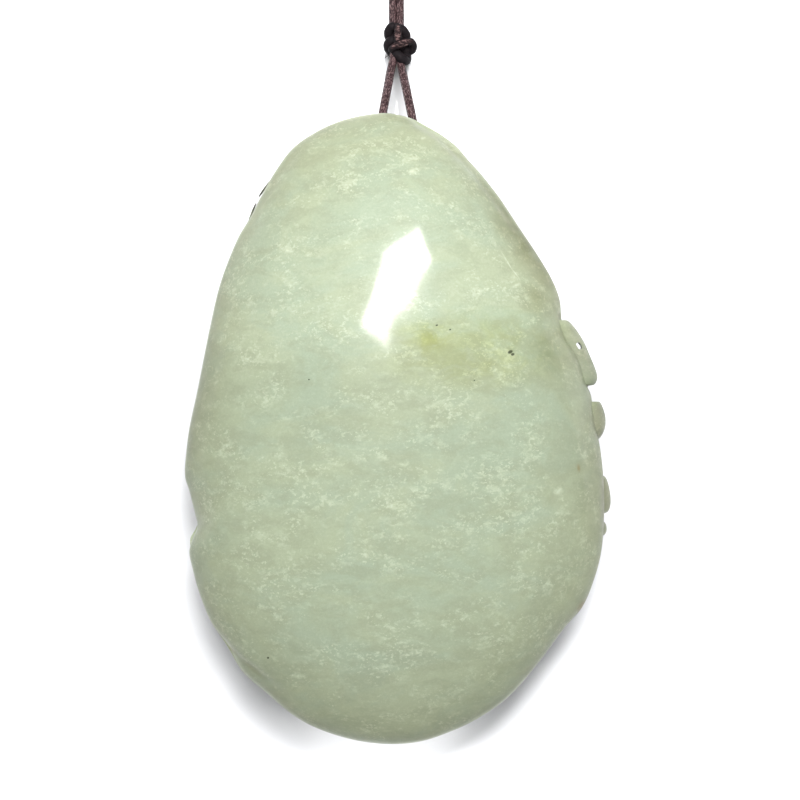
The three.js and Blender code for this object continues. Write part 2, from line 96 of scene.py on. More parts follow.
# The carving
SPINE = np.array([
    [-1.4, 28.2], [5.2, 23.6], [9.8, 14.6], [10.2, 3.4], [7.0, -8.0], [0.6, -16.4], [-6.0, -20.6],
])
FISH_HALF_WIDTH = 8.3
FISH_SHARE = [0.16, 0.5, 0.77, 0.94, 1.0, 0.96, 0.83, 0.65, 0.46, 0.32, 0.26]
FISH_HALF = [1.2, 3.0, 4.2, 4.9, 5.2, 5.1, 4.6, 3.9, 3.2, 2.7, 2.4]
FISH_LOW = [3.0, 1.5, 0.8, 0.5, 0.1, -0.4, -0.4, 0.3, 1.1, 1.7, 1.9]
DORSAL_EDGE = np.array([
    [17.6, 14.2], [19.2, 13.5], [20.4, 13.4], [21.0, 13.45], [21.45, 13.15], [22.2, 12.3],
    [23.2, 10.7], [23.9, 9.1], [24.5, 7.7], [24.85, 6.6], [24.8, 5.9], [24.45, 5.4], [23.7, 5.25],
    [22.6, 4.6], [22.9, 3.3], [24.3, 3.05], [25.1, 3.3], [25.55, 2.6], [25.9, 1.4], [25.85, 0.1],
    [25.4, -1.0], [24.6, -1.8], [23.9, -2.6], [24.0, -5.6], [25.1, -6.1], [25.8, -6.05],
    [26.3, -7.1], [26.6, -9.0], [26.3, -10.4], [25.4, -10.9], [25.5, -11.5], [26.0, -12.1],
    [26.05, -13.0], [25.5, -13.6], [23.6, -14.2], [20.4, -15.0],
])
DORSAL_TOP = [12.9, 12.7, 12.3, 12.0, 11.8, 11.5, 11.5, 11.2, 10.8, 10.5, 10.3, 10.0]
DORSAL_LOW = [7.2, 7.2, 7.1, 6.8, 6.4, 6.3, 6.3, 6.3, 6.3, 6.3, 6.3, 6.3]
DORSAL_GAP = (22.45, 10.25)
GAP_RADIUS = 0.37
GAP_STRETCH = 0.12
LEAF_CENTRE = np.array([-10.2, 14.8])
LEAF_RADII = np.array([11.0, 12.3])
LEAF_VEINS = 11
FLOWER_BASE = np.array([-8.6, -12.4])
PETAL_DIRECTIONS = [196, 88, 172, 112, 142]
PETAL_LENGTH = 11.5
PETAL_HALF_WIDTH = 3.0
WAVE_CENTRES = [(-16.5, -29.5), (14.5, -28.0), (5.0, -37.5), (-7.5, -38.5)]
WAVE_RADII = [2.4, 5.0, 7.6]
WAVE_HALF_WIDTH = 1.2
BEADS = [((-6.2, 31.0), 2.2), ((-11.8, 29.6), 1.4), ((19.6, -19.8), 1.5), ((-22.0, -17.6), 1.5)]
STEM = [(-14.6, 4.6), (-20.4, 1.6), (-22.4, -4.6), (-20.6, -11.6), (-15.0, -17.0), (-8.0, -19.6)]
STALKS = [
    [(-13.6, 31.6), (-15.8, 31.1), (-16.75, 30.2), (-17.6, 29.0)],
    [(-17.95, 28.2), (-18.45, 27.0), (-18.8, 25.6), (-18.4, 23.4)],
]

# The drilled hole and the cord
HOLE_RADIUS = 0.9
HOLE_HALF_SPACING = 1.95
HOLE_MIDDLE = -0.12
HOLE_LEVEL = 8.3
HOLE_BEND = 36.0
HOLE_MOUTH = 37.5
CORD_MIDDLE = -0.22
CORD_REACH = 2.17  # the strands lie against the outer side of the hole's bend
COIL_CENTRE = np.array([7.0, 66.0])
COIL_OUTER = 7.35
COIL_PITCH = 1.05
COIL_TURNS = 4
COIL_FLOOR = 1.32
END_KNOT_CENTRE = np.array([12.6, 78.0, 1.75])
TIES = {"coil_tie_left": 235, "coil_tie_right": 20}
KNOT_FOOT = 47.3
CORD_STEP = 0.2
CORD_AROUND = 18
KNOT_STEP = 0.12
KNOT_AROUND = 20

# Marks in the stone's colour: each oval's centre, radii, turn in degrees, softness and strength
FLECK_BANKS = [
    ((10.2, 17.0), (3.6, 1.3), 22, 0.8, 1.3),
    ((16.4, 13.2), (2.2, 0.9), 22, 0.8, 1.3),
    ((1.7, 31.6), (1.6, 0.9), 22, 0.8, 1.3),
]
WIDE_STAIN = [((9.0, 9.7), (15.0, 6.6), 3, 0.7, 0.7)]
STRONG_STAIN = [((3.0, 11.3), (4.6, 2.8), 0, 0.95, 0.75)]
# An olive-brown tint with painted shade along both edges, darkest inside the crease at the upper right
EDGE_TINTS_AND_SHADE = [
    ((-24.4, 6.0), (3.8, 20.0), -11, 0.95, 0.4),
    ((17.6, 15.6), (3.4, 5.0), 30, 0.95, 0.65),
    ((15.4, 23.6), (3.6, 15.0), 33, 0.95, 1.0),
    ((24.4, -6.0), (3.4, 16.0), 0, 0.95, 0.25),
    ((18.8, 9.6), (4.0, 6.0), 20, 0.9, 0.55),
]
# A painted highlight on the upper right rim, outside the crease
PAINTED_RIM_HIGHLIGHT = [((8.9, 32.8), (0.7, 7.0), 42, 0.7, 0.15)]
DARK_SPECKS = [
    ((13.65, 9.4), (0.42, 0.26), 25, 0.5, 1.0),
    ((13.95, 9.1), (0.3, 0.22), 20, 0.5, 1.0),
    ((4.62, 12.62), (0.2, 0.14), 20, 0.5, 1.0),
    ((6.25, 12.1), (0.16, 0.12), 20, 0.5, 1.0),
    ((-16.2, -28.4), (0.18, 0.17), 20, 0.5, 1.0),
    ((-11.0, 6.0), (0.12, 0.12), 20, 0.5, 1.0),
    ((9.2, 5.9), (0.13, 0.1), 20, 0.5, 1.0),
]
BROWN_SPOTS = [((22.2, -4.9), (0.35, 0.75), 5, 0.9, 1.0), ((22.8, -22.2), (0.6, 1.3), -32, 0.8, 1.0)]
WHITE_SPOTS = [
    ((13.35, 20.6), (0.13, 1.9), 31, 0.9, 1.0),
    ((14.3, 19.2), (0.1, 1.4), 38, 0.9, 1.0),
    ((1.6, 31.7), (0.75, 0.45), 24, 0.95, 1.0),
    ((3.0, 36.0), (0.45, 0.25), 24, 0.95, 1.0),
    ((14.4, 17.6), (0.9, 0.25), 24, 0.95, 1.0),
    ((19.6, -7.7), (0.9, 0.7), 24, 0.95, 1.0),
]
# Painted shade with a greyer tone on the lower lobes at the right edge and on the fin's tongue
KNOB_SHADE_TINTS = [((25.2, 0.9), (1.3, 3.0), 0, 0.4, 1.0), ((26.0, -9.5), (1.3, 4.8), 0, 0.4, 1.0)]
LOBE_SHADE_TINT = [((23.4, 9.2), (2.3, 5.4), 27, 0.5, 0.7)]
# Painted shade in the notch where the fin's tongue meets the dome
NOTCH_SHADE = [((20.05, 13.9), (0.3, 0.6), 0, 0.6, 0.6)]
# Painted shade along the crease at the lower left
CREASE_SHADE = [((-20.9, -27.7), (1.5, 0.3), -41, 0.8, 0.5), ((-18.0, -30.1), (2.8, 0.5), -38, 0.9, 0.5)]
SHADED = [((-17.6, 28.7), (1.5, 3.9), -30, 0.8, 1.0), ((-25.5, -13.1), (1.4, 1.9), 20, 0.8, 1.0)]
# The strands over the front of the knot, where painted light falls on them, in the same way
KNOT_LIT_FRONT = [((-0.15, 50.05), (0.5, 1.3), 0, 0.4, 1.0), ((0.3, 48.7), (1.7, 0.5), 17, 0.4, 1.0)]
# Layers of flecks: scale and shift of the noise, the range that it fades in over, and the strength
FLECK_LAYERS = [(1.0, 17, 0.58, 0.65, 0.26), (1.9, 41, 0.59, 0.66, 0.42), (3.4, 71, 0.6, 0.67, 0.5)]
# Filters of painted shade by a place's height or its way north, darker low down and away from the north
# end: from where, to where, how much, and the filter
HEIGHT_SHADE_FILTER = (10.6, 13.6, 0.22, (0.62, 0.6, 0.52))
NORTH_SHADE_FILTERS = [(4.0, 14.5, 0.5, (0.66, 0.67, 0.65)), (-40.0, -14.0, 0.2, (0.66, 0.67, 0.66))]

# The stage
CAMERA_PLACE = (0.000125, 0.0035)  # in metres
FLOOR_HALF_SIZE = 1500
# Each lamp's name, place and size in metres, tilt and turn in degrees, the setting for its power,
# its share of it, and whether the polish mirrors it
LAMPS = [
    ("overhead", (0, 0, 0.95), (0.5, 0.5), (0, 0), "overhead", 1.0, False),
    ("sky", (0, 0.5, 0.85), (0.6, 0.5), (-30, 0), "sky", 1.0, False),
    ("front", (0, -0.6, 0.3), (0.5, 0.3), (63, 0), "front", 1.0, False),
    ("window_low", (-0.043, 0.291, 0.9), (0.158, 0.275), (0, -26.6), "window", 0.31, True),
    ("window_high", (0.142, 0.445, 0.9), (0.38, 0.225), (0, 29), "window", 0.69, True),
]
# Each narrow lamp's name, place, tilt and share of the setting
PAPER_LAMPS = [
    ("paper_low", (-0.002, -0.5, 0.29), 57.7, 1.0),
    ("paper_high", (0, 0.5, 0.29), -57.6, 1.2),
]


# Small maths
def toward(degrees):
    """The unit arrow in a direction of the plane, in degrees from +X."""
    angle = np.radians(degrees)
    return np.stack([np.cos(angle), np.sin(angle)], axis=-1)


def smooth_line(points, share, closed=False):
    """A Catmull-Rom line: between two points it is the cubic whose slope at each point is half the
    step between that point's neighbours. share runs from 0 to 1 over the whole line."""
    points = np.asarray(points, float)
    count = len(points)
    if closed:
        padded = points[np.arange(-1, count + 2) % count]
        place = (np.asarray(share, float) % 1) * count
        spans = count
    else:
        first = 2 * points[:1] - points[1:2]
        last = 2 * points[-1:] - points[-2:-1]
        padded = np.concatenate([first, points, last])
        place = np.clip(share, 0, 1) * (count - 1)
        spans = count - 1
    span = np.minimum(place.astype(int), spans - 1)
    w = (place - span)[..., None]
    before, start, end, after = (padded[span + i] for i in range(4))
    leave, arrive = (end - before) / 2, (after - start) / 2
    bend = 2 * w**3 - 3 * w**2
    return (
        (bend + 1) * start - bend * end
        + (w**3 - 2 * w**2 + w) * leave + (w**3 - w**2) * arrive
    )


def smooth_value(numbers, share):
    """The same cubic through evenly spaced numbers."""
    numbers = np.asarray(numbers, float)
    return smooth_line(numbers[:, None], share)[..., 0]


def ease(low, high, value):
    """0 below low, 1 above high, and 3w² − 2w³ between them."""
    w = np.clip((value - low) / (high - low), 0, 1)
    return w * w * (3 - 2 * w)


def meld(a, b, fillet):
    """The lower of two heights, with a rounded valley of the fillet's size where they meet:
    the minimum less h² · fillet / 4, where h is how near they are as a share of the fillet."""
    near = np.clip(1 - np.abs(a - b) / fillet, 0, 1)
    return np.minimum(a, b) - near**2 * fillet / 4


def groove(distance, width):
    """1 on a line and falling away from it as a bell of that width."""
    return np.exp(-((distance / width) ** 2))


# Making meshes
def add_object(name, points, faces):
    """A mesh object in metres from points in millimetres."""
    mesh = bpy.data.meshes.new(name)
    points = np.asarray(points, float) * MILLIMETRE
    mesh.from_pydata(points.tolist(), [], [tuple(face) for face in faces])
    mesh.update()
    piece = bpy.data.objects.new(name, mesh)
    bpy.context.scene.collection.objects.link(piece)
    return piece


def between_rings(low, high, start):
    """Faces between two neighbouring rings, the first with its points from start on. Where one has
    twice the points of the other, three triangles fill each of the coarse ring's gaps."""
    after = start + low
    i = np.arange(min(low, high))
    j = (i + 1) % min(low, high)
    if low == high:
        return np.stack([start + i, start + j, after + j, after + i], axis=-1).tolist()
    p, q, r = 2 * i, 2 * i + 1, 2 * j
    if high > low:
        parts = [(start + i, start + j, after + q), (start + i, after + q, after + p),
                 (start + j, after + r, after + q)]
    else:
        parts = [(start + q, start + r, after + j), (start + q, after + j, after + i),
                 (start + q, after + i, start + p)]
    return [face for part in parts for face in np.stack(part, axis=-1).tolist()]


def add_rings(name, rings, first, last, flip=False):
    """A closed body of rings of points, shut by a fan to a point at each end."""
    points = np.concatenate([[first], *rings, [last]])
    faces = []
    start = 1
    for low, high in zip(rings[:-1], rings[1:]):
        faces += between_rings(len(low), len(high), start)
        start += len(low)
    turn = np.arange(len(rings[0]))
    fan = np.stack([0 * turn, (turn + 1) % len(turn) + 1, turn + 1], axis=-1)
    turn = np.arange(len(rings[-1]))
    end = np.stack([0 * turn + len(points) - 1, start + turn, start + (turn + 1) % len(turn)], axis=-1)
    faces += [*fan.tolist(), *end.tolist()]
    if flip:
        faces = [face[::-1] for face in faces]
    return add_object(name, points, faces)


def combine(base, other, operation):
    """Joins, cuts or keeps the overlap of two closed bodies, and removes the second."""
    tool = base.modifiers.new("combine", "BOOLEAN")
    tool.object = other
    tool.operation = operation
    tool.solver = "MANIFOLD"
    shown = bpy.context.evaluated_depsgraph_get()
    shown.update()
    mesh = bpy.data.meshes.new_from_object(base.evaluated_get(shown))
    base.modifiers.clear()
    base.data = mesh
    bpy.data.objects.remove(other)


def finish_piece(piece, crease, material, nodes):
    """Gives a piece smooth shading, with a crease where two faces meet at more than the angle, and
    its material, puts it in its body and hides the solids that it stands for."""
    mesh = piece.data
    mesh.polygons.foreach_set("use_smooth", np.ones(len(mesh.polygons), bool))
    mesh.set_sharp_from_angle(angle=math.radians(crease))
    mesh.materials.clear()
    mesh.materials.append(material)
    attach(piece, "root")
    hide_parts(*nodes)


# The stone's forms
def back_edge(share):
    """The back's outline, at shares of the way round it."""
    return smooth_line(BACK_OUTLINE, share, closed=True)


def face_edge(share):
    """The back's outline moved in by the inset, and out by a bell at each bulge's direction."""
    edge = back_edge(share)
    offset = edge - STONE_CENTRE
    direction = np.degrees(np.arctan2(offset[..., 1], offset[..., 0]))
    reach = np.full(direction.shape, -FACE_INSET)
    for at, size, spread in FACE_BULGES:
        turn = (direction - at + 540) % 360 - 180
        reach = reach + size * groove(turn, spread)
    distance = np.linalg.norm(offset, axis=-1)
    return STONE_CENTRE + offset * (1 + reach / distance)[..., None]


def calm_edge(edge, share):
    """An outline with its small steps smoothed away: the mean of 11 places along it."""
    steps = np.arange(-5, 6) * 0.011
    return np.mean([edge((share + 1 + step) % 1) for step in steps], axis=0)


def outline_rings(edge, scales, around):
    """Rings inside an outline. Each is the outline scaled about the stone's centre, and the
    outline's small steps fade out towards the centre with the ninth power of the scale."""
    share = np.arange(around) / around
    calm, sharp = calm_edge(edge, share), edge(share)
    scales = scales[:, None, None]
    outline = calm + (sharp - calm) * scales**9
    return STONE_CENTRE + (outline - STONE_CENTRE) * scales


def thin_rings(places, heights, scales, limits):
    """Rings of points from a grid, with every second point left out below each limit of the scale."""
    rings = []
    for ring, level, scale in zip(places, heights, scales):
        step = 2 ** sum(scale < limit for limit in limits)
        rings.append(np.concatenate([ring, level[:, None]], axis=1)[::step])
    return rings


def pressed(places):
    """How deep the creases are pressed into the back: a bell across each line, narrower on its
    inner side, and on its outer side falling only to the share that stays."""
    depth = np.zeros(len(places))
    for points, at_start, at_end, inner, outer, stays in CREASES:
        share, side, past = along(dense(points), places)
        bell = np.where(side > 0, stays + (1 - stays) * groove(side, outer), groove(side, inner))
        depth = depth + (at_start + (at_end - at_start) * share) * bell * groove(past, 0.9)
    return depth


def add_back():
    """The smooth back: rings of scale s at the height girdle + dome · (1 − s^2.3)^0.56, with a few
    hand-polished undulations and creases, and a rounded lip under the widest line."""
    around, steps = 440, 62
    turn = np.arange(1, steps + 1) / steps * np.pi / 2
    scales = np.sin(turn) ** 0.9
    heights = GIRDLE_HEIGHT + DOME_HEIGHT * np.clip(1 - scales**2.3, 0, 1) ** 0.56
    lip_scales = np.array([0.9985, 0.994, 0.986, 0.97])
    lip_heights = GIRDLE_HEIGHT - np.array([0.26, 0.52, 0.7, 0.8])
    places = outline_rings(back_edge, np.concatenate([scales, lip_scales]), around)
    x, y = places[..., 0], places[..., 1]
    heights = np.concatenate([heights, lip_heights])[:, None] + 0 * x
    swell = (
        0.07 * np.sin(0.23 * x + 0.11 * y + 0.6) * np.sin(0.17 * y - 0.05 * x)
        + 0.014 * np.sin(0.52 * x - 0.31 * y + 2.0) + 0.012 * np.sin(0.61 * y + 0.2 * x)
    )
    fade = np.concatenate([1 - scales**6, np.zeros(len(lip_scales))])[:, None]
    heights = heights + swell * fade
    deep = np.zeros_like(heights)
    outer = np.flatnonzero(scales > 0.72)
    deep[outer] = pressed(places[outer].reshape(-1, 2)).reshape(len(outer), around)
    room = np.clip(heights - GIRDLE_HEIGHT, 0, None)
    heights = heights - np.minimum(deep, 0.8 * room)
    ring_scales = np.concatenate([scales, lip_scales * 0 + 1])
    rings = thin_rings(places, heights, ring_scales, [0.78, 0.3])
    top = [*STONE_CENTRE, heights[0].mean() + 0.002]
    low = [*STONE_CENTRE, GIRDLE_HEIGHT - 0.8]
    return add_rings("jade_pendant_back", rings, top, low, flip=True)


def ground_at(scale):
    """The sunk ground of the carved face: top − depth · (1 − s³)^0.6."""
    return FACE_TOP - GROUND_DEPTH * np.clip(1 - scale**3, 0, 1) ** 0.6


def skin_at(scale):
    """The skin of the pebble that the carving was cut from: top − (top + 0.5) · (1 − s⁵)^0.5."""
    return FACE_TOP - (FACE_TOP + 0.5) * np.clip(1 - scale**5, 0, 1) ** 0.5


def along(line, places):
    """For each place, by the nearest point of a dense line: its share of the way along the line,
    its distance to the left of it, and how far it lies past the line's ends."""
    step = np.gradient(line, axis=0)
    length = np.linalg.norm(step, axis=1)
    ahead = step / length[:, None]
    nearest = np.concatenate([
        ((part[:, None] - line[None]) ** 2).sum(-1).argmin(1)
        for part in np.array_split(places, len(places) // 8000 + 1)
    ])
    offset = places - line[nearest]
    ahead = ahead[nearest]
    place = nearest + (offset * ahead).sum(1) / length[nearest]
    side = ahead[:, 0] * offset[:, 1] - ahead[:, 1] * offset[:, 0]
    past = np.maximum(-place, place - len(line) + 1).clip(0) * length[nearest]
    return np.clip(place / (len(line) - 1), 0, 1), side, past


def dense(points, count=260):
    """A smooth line of so many points through a few."""
    return smooth_line(points, np.linspace(0, 1, count))


def band(low, half, across, width, past, corner=0.8):
    """Height of the underside of a rounded band: low + half · (1 − (1 − |q|^(2/c))^(c/2)) where q is
    the place across it from −1 to 1. Outside the band it climbs steeply."""
    inside = np.clip(1 - np.abs(across) ** (2 / corner), 0, 1) ** (corner / 2)
    outside = np.clip(np.abs(across) - 1, 0, None) * width + past
    return low + half * (1 - inside) + 5 * outside


def ridge(places, points, half_width, low, half, corner=1.0):
    """A rounded band along a line, narrower at both of its ends."""
    share, side, past = along(dense(points), places)
    width = half_width * np.sqrt(1.02 - (2 * share - 1) ** 4)
    return band(low, half, side / width, width, past, corner), share, side / width


def scale_rows(forward, across, step, pitch, radius):
    """Overlapping fish scales: round plates in staggered rows, each one lifted towards the tail.
    The height is the highest, over the plates that hold the place, of 0.5 + 0.5 · u, where u is
    the place along the plate from −1 to 1, rounded off at the plate's rim."""
    best = np.zeros(len(forward))
    nearest = np.round(forward / step)
    for row_step in (-2, -1, 0, 1, 2):
        row = nearest + row_step
        shift = 0.5 * (row % 2)
        column = np.round(across / pitch - shift)
        for column_step in (-1, 0, 1):
            u = (forward - row * step) / radius
            v = (across - (column + column_step + shift) * pitch) / radius
            reach = np.hypot(u, v)
            rim = np.clip((1 - reach) / 0.14, 0, 1) ** 0.5
            best = np.maximum(best, (0.5 + 0.5 * u) * rim)
    return best


def fish(places):
    """The carp's flank: an oval band along the spine, with gill cover, scales and lateral line."""
    spine = dense(SPINE, 400)
    share, side, past = along(spine, places)
    width = FISH_HALF_WIDTH * smooth_value(FISH_SHARE, share)
    across = side / width
    low, half = smooth_value(FISH_LOW, share), smooth_value(FISH_HALF, share)
    body = band(low, half, across, width, past, 0.9)
    length = np.linalg.norm(np.diff(spine, axis=0), axis=1).sum()
    scales = scale_rows(share * length, across * 8.6, 1.75, 2.15, 1.5)
    scaled = ease(0.3, 0.33, share) * ease(0.95, 0.9, share) * ease(1.0, 0.9, np.abs(across))
    body = body - 0.42 * (scales - 0.45) * scaled
    body = body + 0.3 * groove(across * width, 0.22) * scaled
    cheek = groove(np.hypot(places[:, 0] - 4.6, places[:, 1] - 21.8) - 2.3, 0.22)
    throat = groove(share - 0.215 - 0.03 * across**2, 0.006)
    throat = throat + groove(share - 0.175 - 0.02 * across**2, 0.005)
    head = ease(0.29, 0.25, share) * ease(1.1, 0.8, np.abs(across))
    return body + 0.35 * (cheek + 0.8 * throat) * head


def fan(places, root, start, end, reach, ribs, low, half):
    """A ribbed fan about a root. q runs from the root to the fan's edge, and each rib lowers the
    skin by a cosine of the direction, with two finer lines cut into every rib."""
    offset = places - np.asarray(root)
    distance = np.hypot(offset[:, 0], offset[:, 1])
    direction = np.degrees(np.arctan2(offset[:, 1], offset[:, 0])) % 360
    share = np.clip((direction - start) / (end - start), 0, 1)
    past = np.maximum(start - direction, direction - end).clip(0)
    past = np.radians(np.minimum(past, 60)) * distance
    rib = 0.82 + 0.18 * np.cos(2 * np.pi * ribs * share)
    outer = smooth_value(reach, share) * (0.94 + 0.06 * rib)
    width = (outer - 0.5) / 2
    across = (distance - 0.5) / width - 1
    skin = band(low + half * (1 - rib), half * rib, across, width, past)
    fine = np.abs(np.cos(np.pi * ribs * 3 * share)) ** 10
    return skin + 0.16 * fine * ease(1.2, 4.5, distance)


def leaf(places, ground):
    """The lotus leaf: an oval dish with a rolled, waved rim and forked, raised veins."""
    offset = (places - LEAF_CENTRE) / LEAF_RADII
    angle = np.arctan2(offset[:, 1], offset[:, 0])
    distance = np.hypot(offset[:, 0], offset[:, 1])
    rim = 1 + 0.035 * np.cos(LEAF_VEINS * angle + np.pi) + 0.02 * np.cos(5 * angle + 1)
    across = distance / rim
    local = (angle * LEAF_VEINS / (2 * np.pi) + 0.5) % 1 - 0.5
    main = groove(local * distance, 0.035 - 0.012 * distance)
    fork = groove((np.abs(local) - np.clip(distance - 0.42, 0, 1) * 0.5) * distance, 0.022)
    veins = np.maximum(main, 0.8 * fork * ease(0.42, 0.5, distance)) * ease(0.02, 0.1, distance)
    dish = 1.8 * np.clip(1 - (across / 0.8) ** 2, 0, 1)
    roll = 0.35 * groove(across - 0.84, 0.035)
    relief = dish - 1.1 + roll - 0.42 * veins * ease(0.98, 0.86, across)
    hub = 0.5 * groove(distance, 0.07)
    body = band(ground - 3.3, 2.2, across, 11.0, 0, 0.55)
    return body + (relief - hub) * ease(1.02, 0.93, across)


def petal(places, ground, order, direction):
    """A pointed petal along its own line, rounded across and lined along its length."""
    tip = FLOWER_BASE + PETAL_LENGTH * toward(direction)
    share, side, past = along(dense([FLOWER_BASE, tip], 60), places)
    profile = np.clip(smooth_value([0.35, 0.78, 1.0, 0.92, 0.6, 0.06], share), 0.03, None)
    width = PETAL_HALF_WIDTH * profile
    across = side / width
    low = ground - 3.1 - 0.36 * order + 0.7 * share
    half = 0.5 + 1.9 * np.sin(np.pi * (0.1 + 0.8 * share))
    lines = 0.14 * np.cos(5 * np.pi * across) * ease(1.0, 0.75, np.abs(across)) * ease(0.02, 0.2, share)
    return band(low, half, across, width, past) + lines


def wave(places, ground, centre, radius):
    """One arc of a wave, with a line cut along its crest."""
    offset = places - np.asarray(centre)
    distance = np.hypot(offset[:, 0], offset[:, 1])
    share = (np.degrees(np.arctan2(offset[:, 1], offset[:, 0])) - 8) / 164
    past = np.radians(np.minimum(np.maximum(-share, share - 1).clip(0) * 164, 60)) * distance
    width = WAVE_HALF_WIDTH * np.sqrt(1.02 - (2 * np.clip(share, 0, 1) - 1) ** 4)
    across = (distance - radius) / width
    cut = 0.22 * groove(across - 0.35, 0.16) + 0.22 * groove(across + 0.35, 0.16)
    return band(ground - 3.6 + 0.22 * radius, 2.2, across, width, past, 1.0) + cut


def ball(places, centre, radius, level):
    """The underside of a ball: level − (r² − d²)^½."""
    distance = np.hypot(places[:, 0] - centre[0], places[:, 1] - centre[1])
    inside = np.sqrt(np.clip(radius**2 - distance**2, 0, None))
    return level - inside + 5 * np.clip(distance - radius, 0, None)


def height_at(spots, places, heights):
    """The height at a few spots, taken from the nearest place of the grid."""
    spots = np.asarray(spots, float)
    nearest = ((places[:, None] - spots[None]) ** 2).sum(-1).argmin(0)
    return heights[nearest]


def carve(places, scale):
    """Height of the carved face over each place. Every form is a height, the lowest one shows, and
    they meet in small fillets. The relief is cut off at the pebble's own skin and at the table."""
    ground = ground_at(scale)
    ripple = 0.1 * np.sin(2.6 * places[:, 1] + 0.9 * np.sin(0.45 * places[:, 0]))
    carp = fish(places)
    gill, _, _ = ridge(places, [(-0.8, 20.6), (2.4, 16.6), (7.6, 15.2), (13.4, 17.6)], 0.7, 0.05, 1.5)
    upper, _, _ = ridge(places, [(-2.6, 29.6), (-0.9, 29.2), (0.9, 28.6)], 0.75, 2.3, 1.6)
    lower, _, _ = ridge(places, [(-3.4, 27.8), (-1.6, 26.8), (-0.3, 25.6)], 0.75, 2.3, 1.6)
    whisker = [(-1.8, 26.6), (-4.2, 25.6), (-5.6, 27.4), (-7.8, 26.6)]
    barbel, _, _ = ridge(places, whisker, 0.5, ground - 2.6, 1.6)
    eye = ball(places, (4.6, 21.8), 1.35, 1.75)
    for form in (gill, upper, lower, barbel):
        carp = meld(carp, form, 0.35)
    carp = np.minimum(carp, eye)
    pectoral = fan(places, (5.4, 12.6), 196, 262, [9.5, 11.0, 10.0, 8.0, 5.5], 6, 0.25, 1.9)
    belly = fan(places, (2.6, -3.4), 176, 236, [8.5, 9.0, 8.0, 6.0], 5, ground - 2.6, 1.8)
    tail_reach = [14.0, 15.5, 13.0, 9.4, 8.6, 10.4, 14.0, 15.0, 13.0]
    tail = fan(places, (-5.4, -20.4), 172, 300, tail_reach, 9, ground - 3.4, 2.6)
    carp = meld(carp, np.minimum(np.minimum(pectoral, belly), tail), 0.3)
    plants = leaf(places, ground)
    stem, share, across = ridge(places, STEM, 1.3, ground - 1.7, 1.7)
    stem = stem + 0.16 * np.cos(60 * share) * groove(across, 0.5)
    plants = meld(plants, stem, 0.4)
    for order, direction in enumerate(PETAL_DIRECTIONS):
        plants = np.minimum(plants, petal(places, ground, order, direction))
    for centre in WAVE_CENTRES:
        for radius in WAVE_RADII:
            plants = np.minimum(plants, wave(places, ground, centre, radius))
    levels = height_at([centre for centre, _ in BEADS], places, ground) - 0.6
    for (centre, radius), level in zip(BEADS, levels):
        plants = np.minimum(plants, ball(places, centre, radius, level))
    relief = -meld(-meld(carp, plants, 0.25), -skin_at(scale), 0.3)
    calm = ground + ripple * ease(1.0, 0.9, scale)
    return np.clip(meld(calm, relief, 0.45), 0, FACE_TOP)


def wear(heights):
    """Rounds the steps that a grid leaves on steep walls: the mean over the neighbours, weighted
    1, 2, 1 both ways and twice over, counts where it differs by more than 0.12 to 0.45 mm."""
    mean = heights
    for _ in range(2):
        mean = (np.roll(mean, 1, 1) + 2 * mean + np.roll(mean, -1, 1)) / 4
        inner = np.concatenate([mean[:1], mean[:-1]])
        outer = np.concatenate([mean[1:], mean[-1:]])
        mean = (inner + 2 * mean + outer) / 4
    return heights + (mean - heights) * ease(0.12, 0.45, np.abs(mean - heights))


def add_face():
    """The carved face: a grid of rings inside the face's outline, at the height that carve() gives,
    closed by a flat top inside the back."""
    around, steps = 560, 132
    turn = np.arange(1, steps + 1) / steps
    scales = np.sin(turn * np.pi / 2) ** 0.95
    places = outline_rings(face_edge, scales, around)
    flat = places.reshape(-1, 2)
    heights = carve(flat, np.repeat(scales, around)).reshape(steps, around)
    heights = wear(heights)
    heights[-1] = FACE_TOP
    rings = thin_rings(places, heights, scales, [0.45, 0.2])
    centre = [*STONE_CENTRE, heights[0].mean()]
    return add_rings("jade_pendant_face", rings, centre, [*STONE_CENTRE, FACE_TOP])


def add_loft(name, left, right, low, high, corner, around):
    """A closed body from a left line to a right line with an oval section: across it by the power
    of a cosine and up and down by the power of a sine, between a low and a high level."""
    angle = 2 * np.pi * np.arange(around) / around
    cosine, sine = np.cos(angle), np.sin(angle)
    across = (0.5 + 0.5 * np.sign(cosine) * np.abs(cosine) ** corner)[None, :, None]
    up = (0.5 + 0.5 * np.sign(sine) * np.abs(sine) ** corner)[None, :]
    flat = left[:, None] + (right - left)[:, None] * across
    rise = low[:, None] + (high - low)[:, None] * up
    rings = np.concatenate([flat, rise[..., None]], axis=-1)
    return add_rings(name, rings, rings[0].mean(0), rings[-1].mean(0))


def left_of(line):
    """The unit arrow to the left of a flat line, at each of its points."""
    step = np.gradient(line, axis=0)
    return np.stack([-step[:, 1], step[:, 0]], axis=1) / np.linalg.norm(step, axis=1)[:, None]


def add_dorsal_fin():
    """The fin that stands out past the right edge: a loft from inside the body to the fin's edge,
    smooth above and ribbed below."""
    share = np.linspace(0, 1, 320)
    right = smooth_line(DORSAL_EDGE, share)
    left = right - [6.5, 0.0]
    ribs = 0.2 * np.cos(2 * np.pi * 11 * share) + 0.08 * np.cos(2 * np.pi * 33 * share)
    high = smooth_value(DORSAL_TOP, share)
    low = smooth_value(DORSAL_LOW, share) + ribs
    return add_loft("jade_pendant_fin", left, right, low, high, 0.66, 32)


def add_stalk(points):
    """A thin strand of the openwork that stands clear of the upper left edge."""
    share = np.linspace(0, 1, 48)
    line = smooth_line(points, share)
    width = 0.13 * np.sqrt(1.04 - (2 * share - 1) ** 4)[:, None]
    left, right = line + left_of(line) * width, line - left_of(line) * width
    return add_loft("jade_pendant_stalk", left, right, np.full(48, 7.9), np.full(48, 9.3), 1.0, 12)


